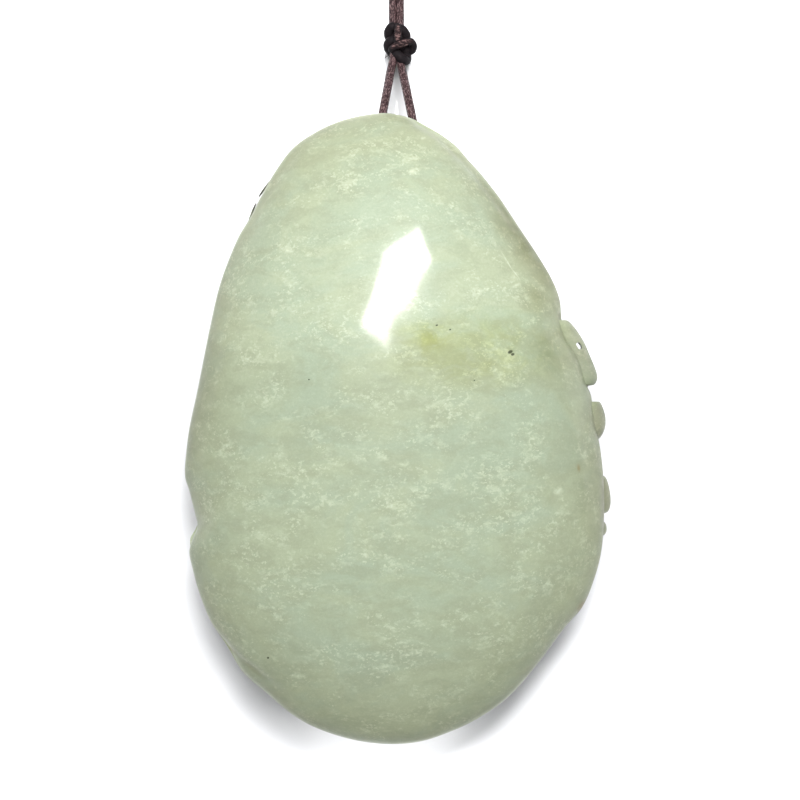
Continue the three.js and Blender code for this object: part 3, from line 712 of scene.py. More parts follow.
def tube_rings(line, radius, around):
    """Rings of a tube along a line. The frame is carried along without turning: each ring's side
    is the one before it, made square to the line again. radius may change round and along it."""
    line = np.asarray(line, float)
    ahead = np.gradient(line, axis=0)
    ahead /= np.linalg.norm(ahead, axis=1)[:, None]
    side = np.zeros_like(ahead)
    start = np.cross(ahead[0], [0.3, 0.2, 1.0])
    for i, direction in enumerate(ahead):
        start = start - direction * start.dot(direction)
        start = start / np.linalg.norm(start)
        side[i] = start
    other = np.cross(ahead, side)
    angle = 2 * np.pi * np.arange(around) / around
    arrow = side[:, None] * np.cos(angle)[None, :, None] + other[:, None] * np.sin(angle)[None, :, None]
    radius = np.broadcast_to(radius, (len(line), around))
    return line[:, None] + arrow * radius[..., None]


def add_tube(name, line, radius, around):
    """A closed tube along a line."""
    rings = tube_rings(line, radius, around)
    return add_rings(name, rings, line[0], line[-1])


def evenly(line, step):
    """The same line with points a step apart."""
    line = np.asarray(line, float)
    run = np.concatenate([[0], np.cumsum(np.linalg.norm(np.diff(line, axis=0), axis=1))])
    places = np.linspace(0, run[-1], int(round(run[-1] / step)) + 1)
    return np.stack([np.interp(places, run, line[:, i]) for i in range(3)], axis=1)


def hole_line():
    """The drilled hole's middle line: in from the top edge, round a half circle, and out again."""
    bend = toward(np.arange(180, 361, 15.0)) * HOLE_HALF_SPACING + [HOLE_MIDDLE, HOLE_BEND]
    left = [[HOLE_MIDDLE - HOLE_HALF_SPACING, y] for y in (44, 41, 38)]
    right = [[HOLE_MIDDLE + HOLE_HALF_SPACING, y] for y in (38, 41, 44)]
    flat = np.concatenate([left, bend, right])
    return np.concatenate([flat, np.full((len(flat), 1), HOLE_LEVEL)], axis=1)


# The cord's routes
def coil_route(layer):
    """The winding: concentric turns a pitch apart, each stepping in over its last part, on the two
    low layers to the inside, up through the middle to the two high layers, and out again."""
    turns = np.linspace(0, 2 * COIL_TURNS - 0.91, 2 * COIL_TURNS * 44)
    whole = np.floor(turns)
    part = np.clip((turns - whole - 0.7) / 0.3, 0, 1)
    stepped = whole + 0.5 - 0.5 * np.cos(np.pi * part)
    inward = np.minimum(stepped, COIL_TURNS - 1)
    outward = np.clip(stepped - COIL_TURNS, 0, COIL_TURNS - 1)
    dip = np.sin(np.pi * np.clip((turns - COIL_TURNS + 0.45) / 0.75, 0, 1)) ** 2
    radius = COIL_OUTER - COIL_PITCH * (inward - outward + dip)
    climb = np.clip((turns - COIL_TURNS + 0.25) / 0.35, 0, 1)
    height = COIL_FLOOR + 1.04 * (layer + 1 - np.cos(np.pi * climb))
    flat = COIL_CENTRE + toward(180 - 360 * turns) * radius[:, None]
    return np.concatenate([flat, height[:, None]], axis=1)


def cord_mouth(side):
    """Where a strand leaves the drilled hole."""
    return np.array([CORD_MIDDLE + side * CORD_REACH, HOLE_MOUTH, HOLE_LEVEL])


def cord_route(side):
    """From the middle of the drilled hole, out of it, straight down to the knot, through it, on to
    the coil, round it, and on into the end knot. side is −1 for the left strand and 1 for the
    right one."""
    turn = np.radians(np.arange(3, 91, 7.25))
    bend = np.stack([
        CORD_MIDDLE + side * CORD_REACH * np.sin(turn), HOLE_BEND - CORD_REACH * np.cos(turn),
        np.full(len(turn), HOLE_LEVEL),
    ], axis=1)
    mouth = cord_mouth(side)
    knot = np.array([-0.33 + side * 0.36, KNOT_FOOT])
    falls = np.array([
        (39.3, 8.1), (41.4, 7.1), (43.6, 5.0), (45.5, 3.2 - side * 0.12), (KNOT_FOOT, 2.2 - side * 0.3),
    ])
    share = (falls[:, :1] - HOLE_MOUTH) / (KNOT_FOOT - HOLE_MOUTH)
    down = np.concatenate([mouth[:2] + (knot - mouth[:2]) * share, falls[:, 1:]], axis=1)
    lead = [
        [-0.34 + side * 0.46, 49.6, 1.9 + side * 0.1],
        [-0.33 + side * 0.46, 51.9, 1.65 + side * 0.12],
        [-0.33 + side * 0.46, 54.0, 1.4 + side * 0.15],
        [-0.34 + side * 0.44, 56.4, 1.5 + side * 0.25],
        [-0.36 + side * 0.36, 58.6, 1.62 + side * 0.4],
        [-0.36 + side * 0.18, 61.2, 1.74 + side * 0.48],
        [-0.35, 63.8, 1.82 + side * 0.52],
    ]
    coil = coil_route((side + 1) / 2)
    tail = [
        [2.4 - side * 0.04, 72.2 + side * 0.06, 3.95 + side * 0.5],
        [4.4 - side * 0.15, 74.5 + side * 0.3, 4.0 + side * 0.4],
        [6.4 - side * 0.3, 75.7 + side * 0.45, 3.1 + side * 0.2],
        [8.6 - side * 0.35, 76.6 + side * 0.5, 2.0],
        [10.4 - side * 0.3, 77.2 + side * 0.45, 1.6],
        [12.2, 77.9 + side * 0.4, 1.7],
    ]
    start = np.concatenate([bend, [mouth], down, lead, coil[:1], coil[2:3]])
    end = np.concatenate([coil[-3:-2], coil[-1:], tail])
    per_span = 40
    start = smooth_line(start, np.linspace(0, 1, per_span * (len(start) - 1) + 1))
    end = smooth_line(end, np.linspace(0, 1, per_span * (len(end) - 1) + 1))
    whole = np.concatenate([start[:-per_span - 1], coil[:-1], end[per_span:]])
    return evenly(whole, CORD_STEP)


def braid(count, step, around):
    """The low bumps of a round braid, from −1 to 1: the product of the cosines of three times the
    direction plus and less 4.5 times the way along."""
    run = np.arange(count)[:, None] * step
    angle = (2 * np.pi * np.arange(around) / around)[None]
    return np.cos(3 * angle + run * 4.5) * np.cos(3 * angle - run * 4.5)


def add_cord(name, side):
    """The strand: a braided tube, a little plumper between the hole and the knot. Gives the piece
    and its middle line."""
    settings = bpy.context.scene.pendant_cord
    line = cord_route(side)
    plump = 0.08 * ease(37.0, 39.5, line[:, 1:2]) * ease(47.0, 44.5, line[:, 1:2])
    bumps = 0.035 * braid(len(line), CORD_STEP, CORD_AROUND)
    radius = settings.diameter / MILLIMETRE / 2 * (1.01 + plump + bumps)
    piece = add_rings(name, tube_rings(line, radius, CORD_AROUND), line[0], line[-1])
    wrap_uv(piece, len(line), CORD_AROUND, CORD_STEP)
    return piece, line


def wrap_uv(piece, rings, around, step):
    """UV of a closed body of rings: u is the way along in millimetres and v the share round it."""
    mesh = piece.data
    corner_points = np.empty(len(mesh.loops), int)
    mesh.loops.foreach_get("vertex_index", corner_points)
    place = np.clip(corner_points - 1, 0, rings * around - 1)  # the first point is the end's
    along_it = place // around * step
    round_it = (place % around) / around
    starts = np.empty(len(mesh.polygons), int)
    totals = np.empty(len(mesh.polygons), int)
    mesh.polygons.foreach_get("loop_start", starts)
    mesh.polygons.foreach_get("loop_total", totals)
    high = np.maximum.reduceat(round_it, starts)
    low = np.minimum.reduceat(round_it, starts)
    seam = np.repeat((high - low) > 0.5, totals)
    round_it = np.where(seam & (round_it < 0.5), round_it + 1, round_it)
    layer = mesh.uv_layers.new(name="cord")
    layer.data.foreach_set("uv", np.stack([along_it, round_it], axis=1).astype(np.float32).ravel())


# Knots and ties
def add_knot(name, strands):
    """Several strands of cord pulled into a knot: braided tubes with rounded ends, joined into one
    closed body. A strand is its points and its radius."""
    parts = []
    for points, radius in strands:
        line = evenly(dense(points, 30 * len(points)), KNOT_STEP)
        run = np.arange(len(line))[:, None] * KNOT_STEP
        end = np.clip(np.minimum(run, run[-1] - run) / radius, 0.02, 1)
        bumps = 0.035 * braid(len(line), KNOT_STEP, KNOT_AROUND)
        size = radius * (0.99 + bumps) * np.sqrt(1 - (1 - end) ** 2)
        parts.append(add_rings(name, tube_rings(line, size, KNOT_AROUND), line[0], line[-1]))
    whole = parts[0]
    for part in parts[1:]:
        combine(whole, part, "UNION")
    return whole


def add_pendant_knot():
    """The knot over the stone: a core, four rounded loops round it, a short band down the front,
    one slanting across it into the loop on the right, and three frayed fibres."""
    return add_knot("pendant_knot_tied", [
        ([(-0.3, 50.5, 1.95), (-0.1, 49.2, 1.9), (0.1, 47.7, 1.95)], 1.0),
        ([(0.3, 48.9, 1.7), (0.85, 48.4, 1.9), (0.9, 47.5, 1.7)], 0.6),
        ([(-0.3, 51.0, 2.8), (-1.0, 50.9, 2.5), (-1.36, 50.2, 2.1), (-1.05, 49.5, 1.5),
          (-0.3, 49.4, 1.1)], 0.6),
        ([(-0.3, 49.3, 2.6), (-1.1, 49.15, 2.6), (-1.42, 48.6, 2.2), (-1.1, 47.95, 1.7),
          (-0.4, 47.7, 1.4)], 0.6),
        ([(-0.1, 50.95, 2.7), (0.45, 50.6, 2.75), (0.92, 49.95, 2.4), (0.85, 49.2, 1.9),
          (0.3, 48.9, 1.4)], 0.58),
        ([(-0.22, 51.2, 2.4), (-0.15, 50.8, 3.1), (-0.13, 50.1, 3.5), (-0.15, 49.3, 3.45),
          (-0.3, 48.7, 2.9)], 0.46),
        ([(-1.1, 47.9, 2.5), (-0.75, 48.2, 3.15), (0.0, 48.6, 3.5), (0.85, 48.95, 3.3),
          (1.55, 49.05, 2.8), (1.84, 48.55, 2.3), (1.65, 48.0, 1.9), (1.0, 47.8, 1.6)], 0.48),
        ([(-0.75, 47.95, 2.3), (-0.15, 47.35, 2.75), (0.5, 46.75, 2.7), (0.88, 46.72, 2.2),
          (0.95, 47.3, 1.7), (0.6, 48.0, 1.4)], 0.64),
        ([(-1.0, 47.7, 2.1), (-1.35, 47.35, 2.15), (-1.62, 47.2, 2.3), (-1.8, 46.95, 2.35)], 0.035),
        ([(-1.0, 47.6, 2.2), (-1.3, 47.1, 2.2), (-1.42, 46.8, 2.3)], 0.03),
        ([(1.3, 46.5, 2.3), (1.5, 46.25, 2.35), (1.55, 46.0, 2.3)], 0.03),
    ])


def add_end_knot():
    """The knot at the cord's end: a core, two wraps round it, and the strands' two short ends. The
    points are measured from the knot's middle."""
    strands = [
        ([(-0.9, -0.35, 0), (0, 0.05, 0.05), (0.8, 0.3, 0)], 0.92),
        ([(-0.75, 0.75, 0.3), (-0.2, 0.55, 0.95), (0.1, -0.1, 1.05), (0.1, -0.8, 0.6),
          (-0.2, -0.95, -0.2), (-0.7, -0.6, -0.8)], 0.52),
        ([(-0.2, 1.0, -0.3), (0.35, 0.95, 0.5), (0.75, 0.35, 0.9), (0.85, -0.45, 0.7),
          (0.6, -0.9, 0.1), (0.0, -0.75, -0.7)], 0.52),
        ([(0.5, -0.1, -0.2), (1.2, 0.0, -0.8), (1.9, 0.15, -1.2)], 0.5),
        ([(0.5, 0.4, 0.0), (1.1, 0.85, -0.7), (1.6, 1.4, -1.2)], 0.5),
    ]
    return add_knot("end_knot_tied", [(END_KNOT_CENTRE + points, radius) for points, radius in strands])


def add_tie(name, direction):
    """A thread wound three times round the coil's section: a helix on a rounded rectangle, whose
    sides are the cosine and the sine of the way round, each raised to a power. It is kept over the
    table and inside the height of its solid."""
    _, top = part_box(name)
    turns, thread, rounding = 3, 0.25, 0.45
    half_wide, half_high, pitch = 2.55, 2.65, 0.34
    middle = np.array([5.8, 2.9])
    share = np.linspace(0, 1, 300)
    angle = 2 * np.pi * turns * share
    out = np.sign(np.cos(angle)) * np.abs(np.cos(angle)) ** rounding * half_wide
    up = np.sign(np.sin(angle)) * np.abs(np.sin(angle)) ** rounding * half_high + middle[1]
    across = (share - 0.5) * turns * pitch
    arrow = toward(direction)
    side = np.array([-arrow[1], arrow[0]])
    flat = COIL_CENTRE + arrow * (middle[0] + out)[:, None] + side * across[:, None]
    line = evenly(np.concatenate([flat, up[:, None]], axis=1), KNOT_STEP)
    room = thread + 0.01
    line[:, 2] = np.clip(line[:, 2], room, top[2] / MILLIMETRE - room)
    return add_tube(name + "_wound", line, thread, 12)


# Materials
class Recipe:
    """A small helper that adds shader nodes and joins them up."""

    def __init__(self, name):
        self.material = bpy.data.materials.new(name)
        self.material.use_nodes = True
        self.tree = self.material.node_tree
        self.tree.nodes.clear()

    def add(self, kind, inputs=(), output=0, **settings):
        """Adds a node and returns one of its outputs. An input is a number, a colour or a socket."""
        node = self.tree.nodes.new(kind)
        for key, value in settings.items():
            setattr(node, key, value)
        for key, value in dict(inputs).items():
            if isinstance(value, bpy.types.NodeSocket):
                self.tree.links.new(value, node.inputs[key])
            else:
                node.inputs[key].default_value = value
        return node.outputs[output]

    def millimetres(self):
        """The Object coordinates in millimetres."""
        metres = self.add("ShaderNodeTexCoord", output=3)
        return self.vector("MULTIPLY", metres, (1000.0, 1000.0, 1000.0))

    def maths(self, operation, *values, clamp=False):
        """An operation on numbers."""
        inputs = dict(enumerate(values))
        return self.add("ShaderNodeMath", inputs, operation=operation, use_clamp=clamp)

    def vector(self, operation, *values):
        """A vector operation; a length comes out of the second socket."""
        inputs = dict(enumerate(values))
        return self.add("ShaderNodeVectorMath", inputs, int(operation == "LENGTH"), operation=operation)

    def blend(self, share, first, second, kind="MIX"):
        """Mixes two colours."""
        inputs = {0: share, 6: first, 7: second}
        return self.add("ShaderNodeMix", inputs, 2, data_type="RGBA", blend_type=kind)

    def tint(self, share, colour, filtering):
        """Multiplies a colour by a filter, as far as the share says."""
        return self.blend(share, colour, (*filtering, 1), "MULTIPLY")

    def place(self, source, turn=(0, 0, 0), scale=(1, 1, 1), shift=(0, 0, 0)):
        """Scales, turns in degrees and shifts coordinates."""
        turn = [math.radians(angle) for angle in turn]
        return self.add("ShaderNodeMapping", {0: source, 1: shift, 2: turn, 3: scale})

    def noise(self, source, scale, detail=3.0, roughness=0.5, distortion=0.0):
        """Noise of a scale, in lumps to the unit of its coordinates."""
        return self.add("ShaderNodeTexNoise", {
            "Vector": source, "Scale": scale, "Detail": detail, "Roughness": roughness,
            "Distortion": distortion,
        })

    def ramp(self, value, low, high, out_low=0.0, out_high=1.0):
        """A smooth step of a value from one range to another."""
        inputs = {0: value, 1: low, 2: high, 3: out_low, 4: out_high}
        return self.add("ShaderNodeMapRange", inputs, interpolation_type="SMOOTHSTEP")

    def spot(self, source, centre, radii, turn=0.0, soft=0.6):
        """1 inside an oval spot and 0 outside it; centre and radii in millimetres."""
        away = self.vector("SUBTRACT", source, (*centre, 0))
        turn = -math.radians(turn)
        away = self.add("ShaderNodeVectorRotate", {0: away, 3: turn}, rotation_type="Z_AXIS")
        away = self.vector("MULTIPLY", away, (1 / radii[0], 1 / radii[1], 0))
        return self.ramp(self.vector("LENGTH", away), 1.0, 1.0 - soft)

    def spots(self, source, rows):
        """The strongest of several spots, each with a strength as the last number of its row."""
        strongest = 0.0
        for *shape, strength in rows:
            one = self.maths("MULTIPLY", self.spot(source, *shape), strength)
            strongest = self.maths("MAXIMUM", strongest, one)
        return strongest

    def finish(self, inputs):
        """Ends the recipe with its surface and returns the material."""
        shader = self.add("ShaderNodeBsdfPrincipled", inputs)
        output = self.tree.nodes.new("ShaderNodeOutputMaterial")
        self.tree.links.new(shader, output.inputs[0])
        return self.material


def linear(colour):
    """An sRGB colour of 0 to 255 as a linear colour with alpha."""
    share = np.asarray(colour, float) / 255
    value = np.where(share <= 0.04045, share / 12.92, ((share + 0.055) / 1.055) ** 2.4)
    return (*value, 1.0)


def jade_stone_colour(r, p, bedding, grain):
    """The clean stone: wide cool and narrow deep patches, milky clouds, and crisp flecks that
    gather in banks along the bedding."""
    settings = bpy.context.scene.pendant_jade
    cloud_colour = (*settings.cloud, 1)
    patch = r.noise(r.place(bedding, shift=(31, 7, 0)), 0.13, 5.0, 0.6, 0.6)
    body = r.blend(r.ramp(patch, 0.4, 0.62), (*settings.pale, 1), (*settings.cool, 1))
    depth = r.noise(r.place(bedding, shift=(3, 17, 4)), 0.4, 6.0, 0.66, 0.5)
    body = r.blend(r.ramp(depth, 0.58, 0.38, 0.0, 0.5), body, (*settings.deep, 1))
    banks = r.place(p, turn=(0, 0, -14), scale=(0.6, 1, 1), shift=(5, 2, 9))
    gather = r.ramp(r.noise(banks, 0.26, 4.0, 0.65, 0.5), 0.43, 0.62, 0.2, 1.0)
    gather = r.maths("MAXIMUM", gather, r.spots(p, FLECK_BANKS))
    wisps = r.place(p, turn=(0, 0, -12), scale=(0.65, 1, 1), shift=(9, 3, 1))
    cloud = r.ramp(r.noise(wisps, 0.85, 5.0, 0.7, 0.3), 0.5, 0.66, 0.0, 0.42)
    body = r.blend(r.maths("MULTIPLY", cloud, gather), body, cloud_colour)
    for scale, shift, low, high, amount in FLECK_LAYERS:
        flecks = r.place(p, turn=(0, 0, -16), scale=(0.8, 1.0, 1.0), shift=(shift, 4, 2))
        fleck = r.ramp(r.noise(flecks, scale, 2.0, 0.6, 0.15), low, high)
        fleck = r.maths("MULTIPLY", r.maths("MULTIPLY", fleck, gather), amount)
        body = r.blend(fleck, body, cloud_colour)
    return r.tint(r.ramp(grain, 0.3, 0.72, 0.3, 0.0), body, (0.78, 0.8, 0.76))


def jade_stains(r, p, bedding, body):
    """The olive stain across the waist, an olive tint with painted shade along both edges, a painted
    highlight on the upper right rim, and the small marks: dark specks, brown spots, white spots
    and scratches."""
    settings = bpy.context.scene.pendant_jade
    cloud_colour = (*settings.cloud, 1)
    stain = r.maths("ADD", r.spots(p, WIDE_STAIN), r.spots(p, STRONG_STAIN))
    mottle = r.ramp(r.noise(bedding, 0.5, 4.0, 0.65, 0.6), 0.36, 0.6, 0.45, 1.0)
    stain = r.maths("MULTIPLY", r.maths("MULTIPLY", stain, mottle), settings.staining, clamp=True)
    body = r.tint(stain, body, settings.stain)
    # Olive-brown tint with painted shade along both edges
    mild = r.ramp(r.noise(bedding, 0.5, 2.0, 0.5, 0.2), 0.3, 0.65, 0.7, 1.0)
    edge = r.maths("MULTIPLY", r.spots(p, EDGE_TINTS_AND_SHADE), mild)
    body = r.tint(edge, body, (0.55, 0.53, 0.39))
    # Painted highlight on the upper right rim
    body = r.blend(r.spots(p, PAINTED_RIM_HIGHLIGHT), body, cloud_colour)
    dark = r.maths("MULTIPLY", r.spots(p, DARK_SPECKS), 0.86)
    body = r.blend(dark, body, linear((46, 50, 36)))
    brown = r.maths("MULTIPLY", r.spots(p, BROWN_SPOTS), 0.5)
    body = r.blend(brown, body, linear((140, 118, 72)))
    ragged = r.ramp(r.noise(p, 1.8, 3.0, 0.6), 0.3, 0.6, 0.4, 1.0)
    white = r.maths("MULTIPLY", r.maths("MULTIPLY", r.spots(p, WHITE_SPOTS), ragged), 0.75)
    return r.blend(white, body, cloud_colour)


def jade_edges(r, p, body):
    """Painted light and shade that follow the shape: painted shade towards the rim and both ends,
    painted shade with a greyer tone on the lobes on the right, a painted pale reflection along the
    edge, and painted shade in the notch by the fin, the lower-left crease and the openwork."""
    settings = bpy.context.scene.pendant_jade
    east, north, height = (r.add("ShaderNodeSeparateXYZ", {0: p}, i) for i in range(3))
    # Painted shade: deeper towards the rim and low down, and darker away from the north end
    rim_shade_filter = (0.62, 0.57, 0.47)
    body = r.tint(r.ramp(height, 11.0, 20.0, settings.rim, 0.0), body, rim_shade_filter)
    low, high, amount, filtering = HEIGHT_SHADE_FILTER
    body = r.tint(r.ramp(height, low, high, amount, 0.0), body, filtering)
    for low, high, amount, filtering in NORTH_SHADE_FILTERS:
        body = r.tint(r.ramp(north, low, high, amount, 0.0), body, filtering)
    # Painted shade with a greyer tone on the lower lobes and the fin's tongue
    knob_shade = r.maths("MULTIPLY", r.spots(p, KNOB_SHADE_TINTS), r.ramp(height, 12.6, 11.9))
    knob_shade = r.maths("MAXIMUM", knob_shade, r.spots(p, LOBE_SHADE_TINT))
    body = r.tint(knob_shade, body, (0.99, 0.95, 1.04))
    # Painted reflection: a pale line low along the edge, except on the right
    rim_reflection_line = r.maths("MULTIPLY", r.ramp(height, 11.9, 10.9), r.ramp(east, 21.0, 14.0))
    rim_reflection_line = r.maths("MULTIPLY", rim_reflection_line, r.ramp(height, 9.9, 10.3))
    body = r.blend(r.maths("MULTIPLY", rim_reflection_line, 0.25), body, (*settings.cloud, 1))
    # Painted shade in the notch by the fin
    body = r.blend(r.spots(p, NOTCH_SHADE), body, linear((112, 116, 84)))
    # Painted shade along the crease at the lower left
    body = r.blend(r.spots(p, CREASE_SHADE), body, linear((112, 112, 84)))
    shade = r.maths("MULTIPLY", r.spots(p, SHADED), r.ramp(height, 10.0, 9.6))
    return r.blend(r.maths("MULTIPLY", shade, 0.85), body, linear((60, 56, 50)))


def jade_material():
    """Pale grey-green jade, cloudy and a little translucent, under a high polish that shows on the
    dome and fades towards the rim."""
    settings = bpy.context.scene.pendant_jade
    r = Recipe("polished_jade")
    p = r.millimetres()
    bedding = r.place(p, turn=(0, 0, -9), scale=(0.55, 1.0, 0.8))
    grain = r.noise(p, 3.6, 4.0, 0.65)
    body = jade_edges(r, p, jade_stains(r, p, bedding, jade_stone_colour(r, p, bedding, grain)))
    height = r.add("ShaderNodeSeparateXYZ", {0: p}, 2)
    soft = r.ramp(r.noise(p, 0.9, 4.0, 0.6), 0.3, 0.8, 0.36, 0.5)
    pits = r.add("ShaderNodeBump", {"Strength": 0.15, "Distance": 0.00005, "Height": grain})
    return r.finish({
        "Base Color": body, "Roughness": soft, "Normal": pits, "IOR": 1.62,
        "Subsurface Weight": settings.glow, "Subsurface Radius": (1.0, 1.1, 0.8),
        "Subsurface Scale": settings.depth, "Specular IOR Level": 0.12,
        "Coat Weight": r.ramp(height, 12.5, 19.0, 0.1, settings.gloss),
        "Coat Roughness": 0.1, "Coat IOR": 1.5,
    })


def cord_material(dark, light):
    """A round braid of waxed thread: two families of slanted strands from the UV map's way along
    and round the cord, brown with paler pinkish flecks where a strand catches the light."""
    r = Recipe("braided_cord")
    uv = r.add("ShaderNodeTexCoord", output=2)
    unrolled = r.vector("MULTIPLY", uv, (1.0, 3.14, 1.0))
    leaning = r.place(unrolled, turn=(0, 0, 24), scale=(1.1, 3.2, 1.0))
    crossing = r.place(unrolled, turn=(0, 0, -24), scale=(1.1, 3.2, 1.0), shift=(5, 3, 0))
    leaning = r.ramp(r.noise(leaning, 2.1, 3.0, 0.6, 0.5), 0.53, 0.64)
    crossing = r.ramp(r.noise(crossing, 2.2, 3.0, 0.6, 0.5), 0.55, 0.66)
    both = r.maths("MAXIMUM", leaning, crossing)
    tone = r.noise(r.place(unrolled, scale=(0.5, 1, 1)), 0.8, 2.0, 0.5)
    base = r.blend(r.ramp(tone, 0.35, 0.65), linear(dark), linear([c * 0.72 for c in dark]))
    colour = r.blend(r.maths("MULTIPLY", both, 0.6), base, linear(light))
    bump = r.add("ShaderNodeBump", {"Strength": 0.5, "Distance": 0.00006, "Height": both})
    return r.finish({
        "Base Color": colour, "Roughness": r.ramp(both, 0, 1, 0.62, 0.45), "Normal": bump,
        "IOR": 1.45, "Specular IOR Level": 0.3,
    })


def shaded_knot_material():
    """The same cord, pulled tight, as a shaded copy: painted shade makes it nearly black, and
    painted light shows brown flecks on the strands that cross the front, by their place in the knot."""
    # A shaded copy of the cord's material, nearly black with painted shade
    r = Recipe("shaded_knot")
    p = r.millimetres()
    fleck = r.noise(r.place(p, turn=(0, 0, 28), scale=(1.0, 2.4, 1.2)), 2.0, 3.0, 0.6, 0.6)
    # Painted light on the strands that cross the front: lighter brown, with the cord's flecks shown
    # mostly there
    where = r.spots(p, KNOT_LIT_FRONT)
    flecks = r.maths("MULTIPLY", r.ramp(fleck, 0.46, 0.64), r.ramp(where, 0.0, 1.0, 0.04, 1.0))
    colour = r.blend(r.maths("MULTIPLY", where, 0.7), linear((29, 26, 28)), linear((42, 32, 33)))
    colour = r.blend(r.maths("MULTIPLY", flecks, 0.8), colour, linear((124, 98, 96)))
    bump = r.add("ShaderNodeBump", {"Strength": 0.5, "Distance": 0.00006, "Height": fleck})
    return r.finish({
        "Base Color": colour, "Roughness": r.ramp(fleck, 0.3, 0.7, 0.62, 0.5), "Normal": bump,
        "IOR": 1.4, "Specular IOR Level": 0.1,
    })


def paper_material():
    """White paper with a hardly visible mottle."""
    r = Recipe("white_paper")
    metres = r.add("ShaderNodeTexCoord", output=3)
    mottle = r.noise(metres, 40.0, 3.0, 0.6)
    tone = bpy.context.scene.pendant_stage.floor
    colour = r.blend(r.ramp(mottle, 0.3, 0.7), (*tone, 1), (*[c * 0.985 for c in tone], 1))
    return r.finish({"Base Color": colour, "Roughness": 0.9, "Specular IOR Level": 0.1})


# Settings that a user would change
def colour_setting(name, description, colour):
    """A colour whose default is given in sRGB of 0 to 255."""
    return FloatVectorProperty(name=name, description=description, subtype="COLOR", size=3,
                               min=0, max=1, default=linear(colour)[:3])


def share_setting(name, description, default):
    return FloatProperty(name=name, description=description, subtype="FACTOR", min=0, max=1,
                         default=default)


def length_setting(name, description, default):
    return FloatProperty(name=name, description=description, subtype="DISTANCE", unit="LENGTH",
                         min=0.0001, max=2, default=default)


def power_setting(name, description, default):
    return FloatProperty(name=name, description=description, subtype="POWER", unit="POWER", min=0,
                         max=100, default=default)


class PendantJade(PropertyGroup):
    pale: colour_setting("Pale stone", "Colour of the clear, yellower stone", (166, 175, 149))
    deep: colour_setting("Deep stone", "Colour of the darker stone between the clouds", (151, 159, 135))
    cool: colour_setting("Cool stone", "Colour of the bluer, wide patches", (161, 173, 151))
    cloud: colour_setting("Clouds", "Colour of the whitish flecks and wisps", (201, 209, 185))
    stain: FloatVectorProperty(
        name="Stain", description="Filter colour of the yellow stain across the waist",
        subtype="COLOR", size=3, min=0, max=1, default=(0.78, 0.76, 0.42))
    staining: share_setting("Staining", "Strength of the yellow stain", 0.7)
    # Strength of the painted shade towards the rim
    rim: share_setting("Rim tone", "How much the stone deepens towards its rim", 0.48)
    gloss: share_setting("Polish", "Weight of the polished skin", 0.8)
    glow: share_setting("Translucency", "Share of the light that enters the stone", 0.25)
    depth: length_setting("Light depth", "How far light travels in the stone", 0.002)


class PendantCord(PropertyGroup):
    diameter: length_setting("Cord diameter", "Thickness of one strand", 0.001)
    colour: FloatVectorProperty(
        name="Cord", description="Colour of the cord's thread, in sRGB of 0 to 255",
        size=3, min=0, max=255, default=(57, 39, 41))
    fleck: FloatVectorProperty(
        name="Flecks", description="Colour of the paler flecks, in sRGB of 0 to 255",
        size=3, min=0, max=255, default=(158, 128, 128))


class PendantStage(PropertyGroup):
    floor: FloatVectorProperty(
        name="Floor", description="Colour of the pale floor",
        subtype="COLOR", size=3, min=0, max=1, default=(0.62, 0.622, 0.64))
    height: length_setting("Camera height", "Camera above the stone's widest line", 0.45)
    view: length_setting("View width", "Width of the picture at the widest line", 0.1)
    overhead: power_setting("Overhead lamp", "Power of the soft lamp overhead", 3.6)
    sky: power_setting("Sky lamp", "Power of the soft lamp beyond the cord", 5.2)
    front: power_setting("Front lamp", "Power of the low lamp in front of the stone", 0.8)
    window: power_setting("Window lamp", "Power of the lamp that the polish mirrors", 10.0)
    paper: power_setting("Paper lamps", "Power of the narrow lamps on the paper", 28.0)
    fill: FloatProperty(
        name="Fill", description="Strength of the surrounding light", default=0.13, min=0, max=5)


# Operators
class PENDANT_OT_camera(Operator):
    """Adds the camera above the stone, looking straight down."""
    bl_idname = "pendant.camera"
    bl_label = "Camera"

    def execute(self, context):
        stage = context.scene.pendant_stage
        data = bpy.data.cameras.new("camera")
        data.sensor_width = 36.0
        data.lens = data.sensor_width * stage.height / stage.view
        data.clip_start, data.clip_end = 0.02, 5.0
        camera = bpy.data.objects.new("camera", data)
        camera.location = (*CAMERA_PLACE, GIRDLE_HEIGHT * MILLIMETRE + stage.height)
        context.scene.collection.objects.link(camera)
        context.scene.camera = camera
        return {"FINISHED"}


class PENDANT_OT_knots(Operator):
    """Adds the knot over the stone, the knot at the cord's end and the two ties of the coil."""
    bl_idname = "pendant.knots"
    bl_label = "Knots and ties"

    def execute(self, context):
        # The knots and ties take the cord's material as a shaded copy, with painted shade
        dark = shaded_knot_material()
        finish_piece(add_pendant_knot(), 50, dark, ["pendant_knot"])
        finish_piece(add_end_knot(), 50, dark, ["end_knot"])
        for name, direction in TIES.items():
            finish_piece(add_tie(name, direction), 50, dark, [name])
        return {"FINISHED"}


class PENDANT_OT_cords(Operator):
    """Adds the two strands of cord, from the drilled hole through the knots and the coil."""
    bl_idname = "pendant.cords"
    bl_label = "Cord strands"

    def execute(self, context):
        settings = context.scene.pendant_cord
        material = cord_material(settings.colour, settings.fleck)
        for name, side in (("left", -1), ("right", 1)):
            piece, line = add_cord(f"strand_{name}", side)
            nodes = [f"{part}_{name}" for part in ("cord", "lead", "tail")]
            nodes += ["cord_coil"] * (side < 0)
            finish_piece(piece, 60, material, nodes)
        return {"FINISHED"}


